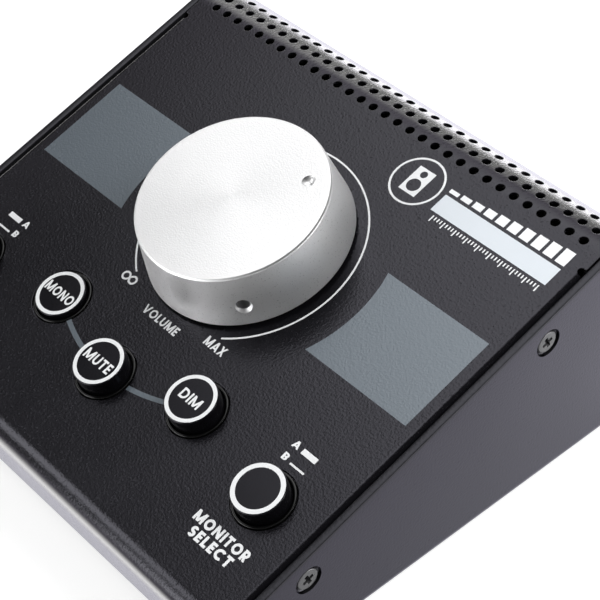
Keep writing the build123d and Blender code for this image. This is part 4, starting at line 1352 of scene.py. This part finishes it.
# %% Bar and loudspeaker sign
BAR_LEFT, BAR_RIGHT = 27.5, 60.9
BAR_LOW, BAR_HIGH = 35.25, 40.1
SIGN_X, SIGN_Y = 19.7, 39.05
SIGN_RING = (6.5, 6.0)  # outer and inner radius
CABINET_X, CABINET_Y = 2.4, 3.6
WOOFER = (-1.2, 1.7)  # height against the middle, radius
TWEETER = (2.1, 0.9)
ring = plate([circle(SIGN_X, SIGN_Y, radius, 72) for radius in SIGN_RING], 0, FILM)
cabinet = box(SIGN_X - CABINET_X, SIGN_Y - CABINET_Y, SIGN_X + CABINET_X, SIGN_Y + CABINET_Y)
cones = [circle(SIGN_X, SIGN_Y + rise, radius, count)
         for (rise, radius), count in ((WOOFER, 40), (TWEETER, 32))]
print_on_panel("pale_bar", film([box(BAR_LEFT, BAR_LOW, BAR_RIGHT, BAR_HIGH)]), BAR_INK)
print_on_panel("sign_ring", ring, WHITE_INK)
print_on_panel("speaker_sign", plate([cabinet] + cones, 0, FILM), WHITE_INK)
print("printed", len(printed))

# %% [markdown]
# Above the bar stands a row of level steps, and below it a fine tick scale. They say nothing but
# louder and softer.

# %% Level steps and tick scale
STEP_COUNT = 10
STEP_PITCH = 3.42
STEP_WIDTH = 2.6
STEP_FOOT = 40.95
STEP_HEIGHTS = (1.0, 3.9)
TICK_COUNT = 37
TICK_LEFT = 29.2
TICK_TOP = 34.5
TICK_PITCH = 0.85
TICK_WIDTH = 0.3
TICK_LENGTHS = (1.7, 0.95, 0.95, 0.95)
low, high = STEP_HEIGHTS
steps, ticks = [], []
for k in range(STEP_COUNT):
    left = BAR_LEFT + STEP_PITCH * k
    height = low + (high - low) * k / (STEP_COUNT - 1)
    steps.append(box(left, STEP_FOOT, left + STEP_WIDTH, STEP_FOOT + height))
for k in range(TICK_COUNT):
    left = TICK_LEFT + TICK_PITCH * k
    ticks.append(box(left, TICK_TOP - TICK_LENGTHS[k % 4], left + TICK_WIDTH, TICK_TOP))
print_on_panel("level_steps", film(steps), WHITE_INK)
print_on_panel("tick_scale", film(ticks), WHITE_INK)
print("printed", len(printed))

# %% [markdown]
# A push button is a moulded cap in a moulded collar. Both are turned shapes, so they are spun
# from their sections like the knob, with the small roundings that a mould leaves.

# %% Caps and collars
CAP_PROUD = 4.1
CAP_EDGE = (0.3, 6)  # easing, segments
COLLAR_EDGE = (0.22, 5)
LATCHED = {"mono": 2.7}
CAP_SECTION = [(0, 4.1), (5.95, 4.1), (5.95, -3.5), (6.9, -3.5), (6.9, -4.1), (4.85, -4.1), (4.85, 2.6),
               (2.6, 2.6), (2.6, -4.1), (0, -4.1)]
COLLAR_SECTION = [(6.25, 0.15), (6.85, 0.15), (6.85, -1.2), (8.4, -1.2), (8.4, -3.2), (6.25, -3.2)]
collars = bmesh.new()
collar = turned(eased(COLLAR_SECTION, *COLLAR_EDGE))
for name, (x, y) in BUTTONS.items():
    drop_into(collars, collar, Matrix.Translation((x, y, 0)))
    place = on_panel(x, y, -LATCHED.get(name, 0.0))
    cap = add_piece(name + "_button_cap", turned(eased(CAP_SECTION, *CAP_EDGE)), place,
                    name + "_button", plain["cap_plastic"])
    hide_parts(name + "_cap")
collar.free()
collars = add_piece("collars", collars, PANEL, "case", plain["collar_plastic"])
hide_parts("button_collars")
print("collars", len(collars.data.polygons), "faces")

# %% [markdown]
# Each cap wears a white ring and, on the three in the middle, its name. They ride on the button
# so that they sink with it.

# %% Cap rings and names
RING_OUTER = 5.72
RING_INNER, SELECT_INNER = 4.85, 4.7
NAMES = {"mono": ("MONO", 8.9), "mute": ("MUTE", 8.3), "dim": ("DIM", 5.9)}
NAME_SIZE = (2.5, 0.50)  # height, stroke
for name, (x, y) in BUTTONS.items():
    place = on_panel(x, y, CAP_PROUD - LATCHED.get(name, 0.0))
    inner = RING_INNER if name in NAMES else SELECT_INNER
    middle, width = (RING_OUTER + inner) / 2, RING_OUTER - inner
    ring = film([bow(0, 0, middle, start, start + 90, width) for start in (0, 90, 180, 270)])
    print_on_panel(name + "_ring", ring, WHITE_INK, name + "_button", place)
    if name in NAMES:
        text, width = NAMES[name]
        word = lettering(text, 0, 0, width, *NAME_SIZE)
        print_on_panel(name + "_word", word, WHITE_INK, name + "_button", place)
print("printed", len(printed))

# %% [markdown]
# Four rubber feet stand under the tray, each with a sunk seat for its screw.

# %% Feet
FOOT_SECTION = [(1.7, 0), (6.5, 0), (6.5, -0.8), (5.7, -3.1), (5.3, -3.5), (3.2, -3.5), (3.2, -1.2),
                (1.7, -1.2)]
FOOT_EDGE = (0.35, 4)
feet = bmesh.new()
foot = turned(eased(FOOT_SECTION, *FOOT_EDGE), 72)
for side in (-1, 1):
    for line in FOOT_LINES:
        drop_into(feet, foot, Matrix.Translation((side * FOOT_X, panel_y + line, UNDERSIDE)))
foot.free()
feet = add_piece("feet", feet, ROW, "case", plain["foot_rubber"])
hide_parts("rubber_feet")
print("feet", len(feet.data.polygons), "faces")
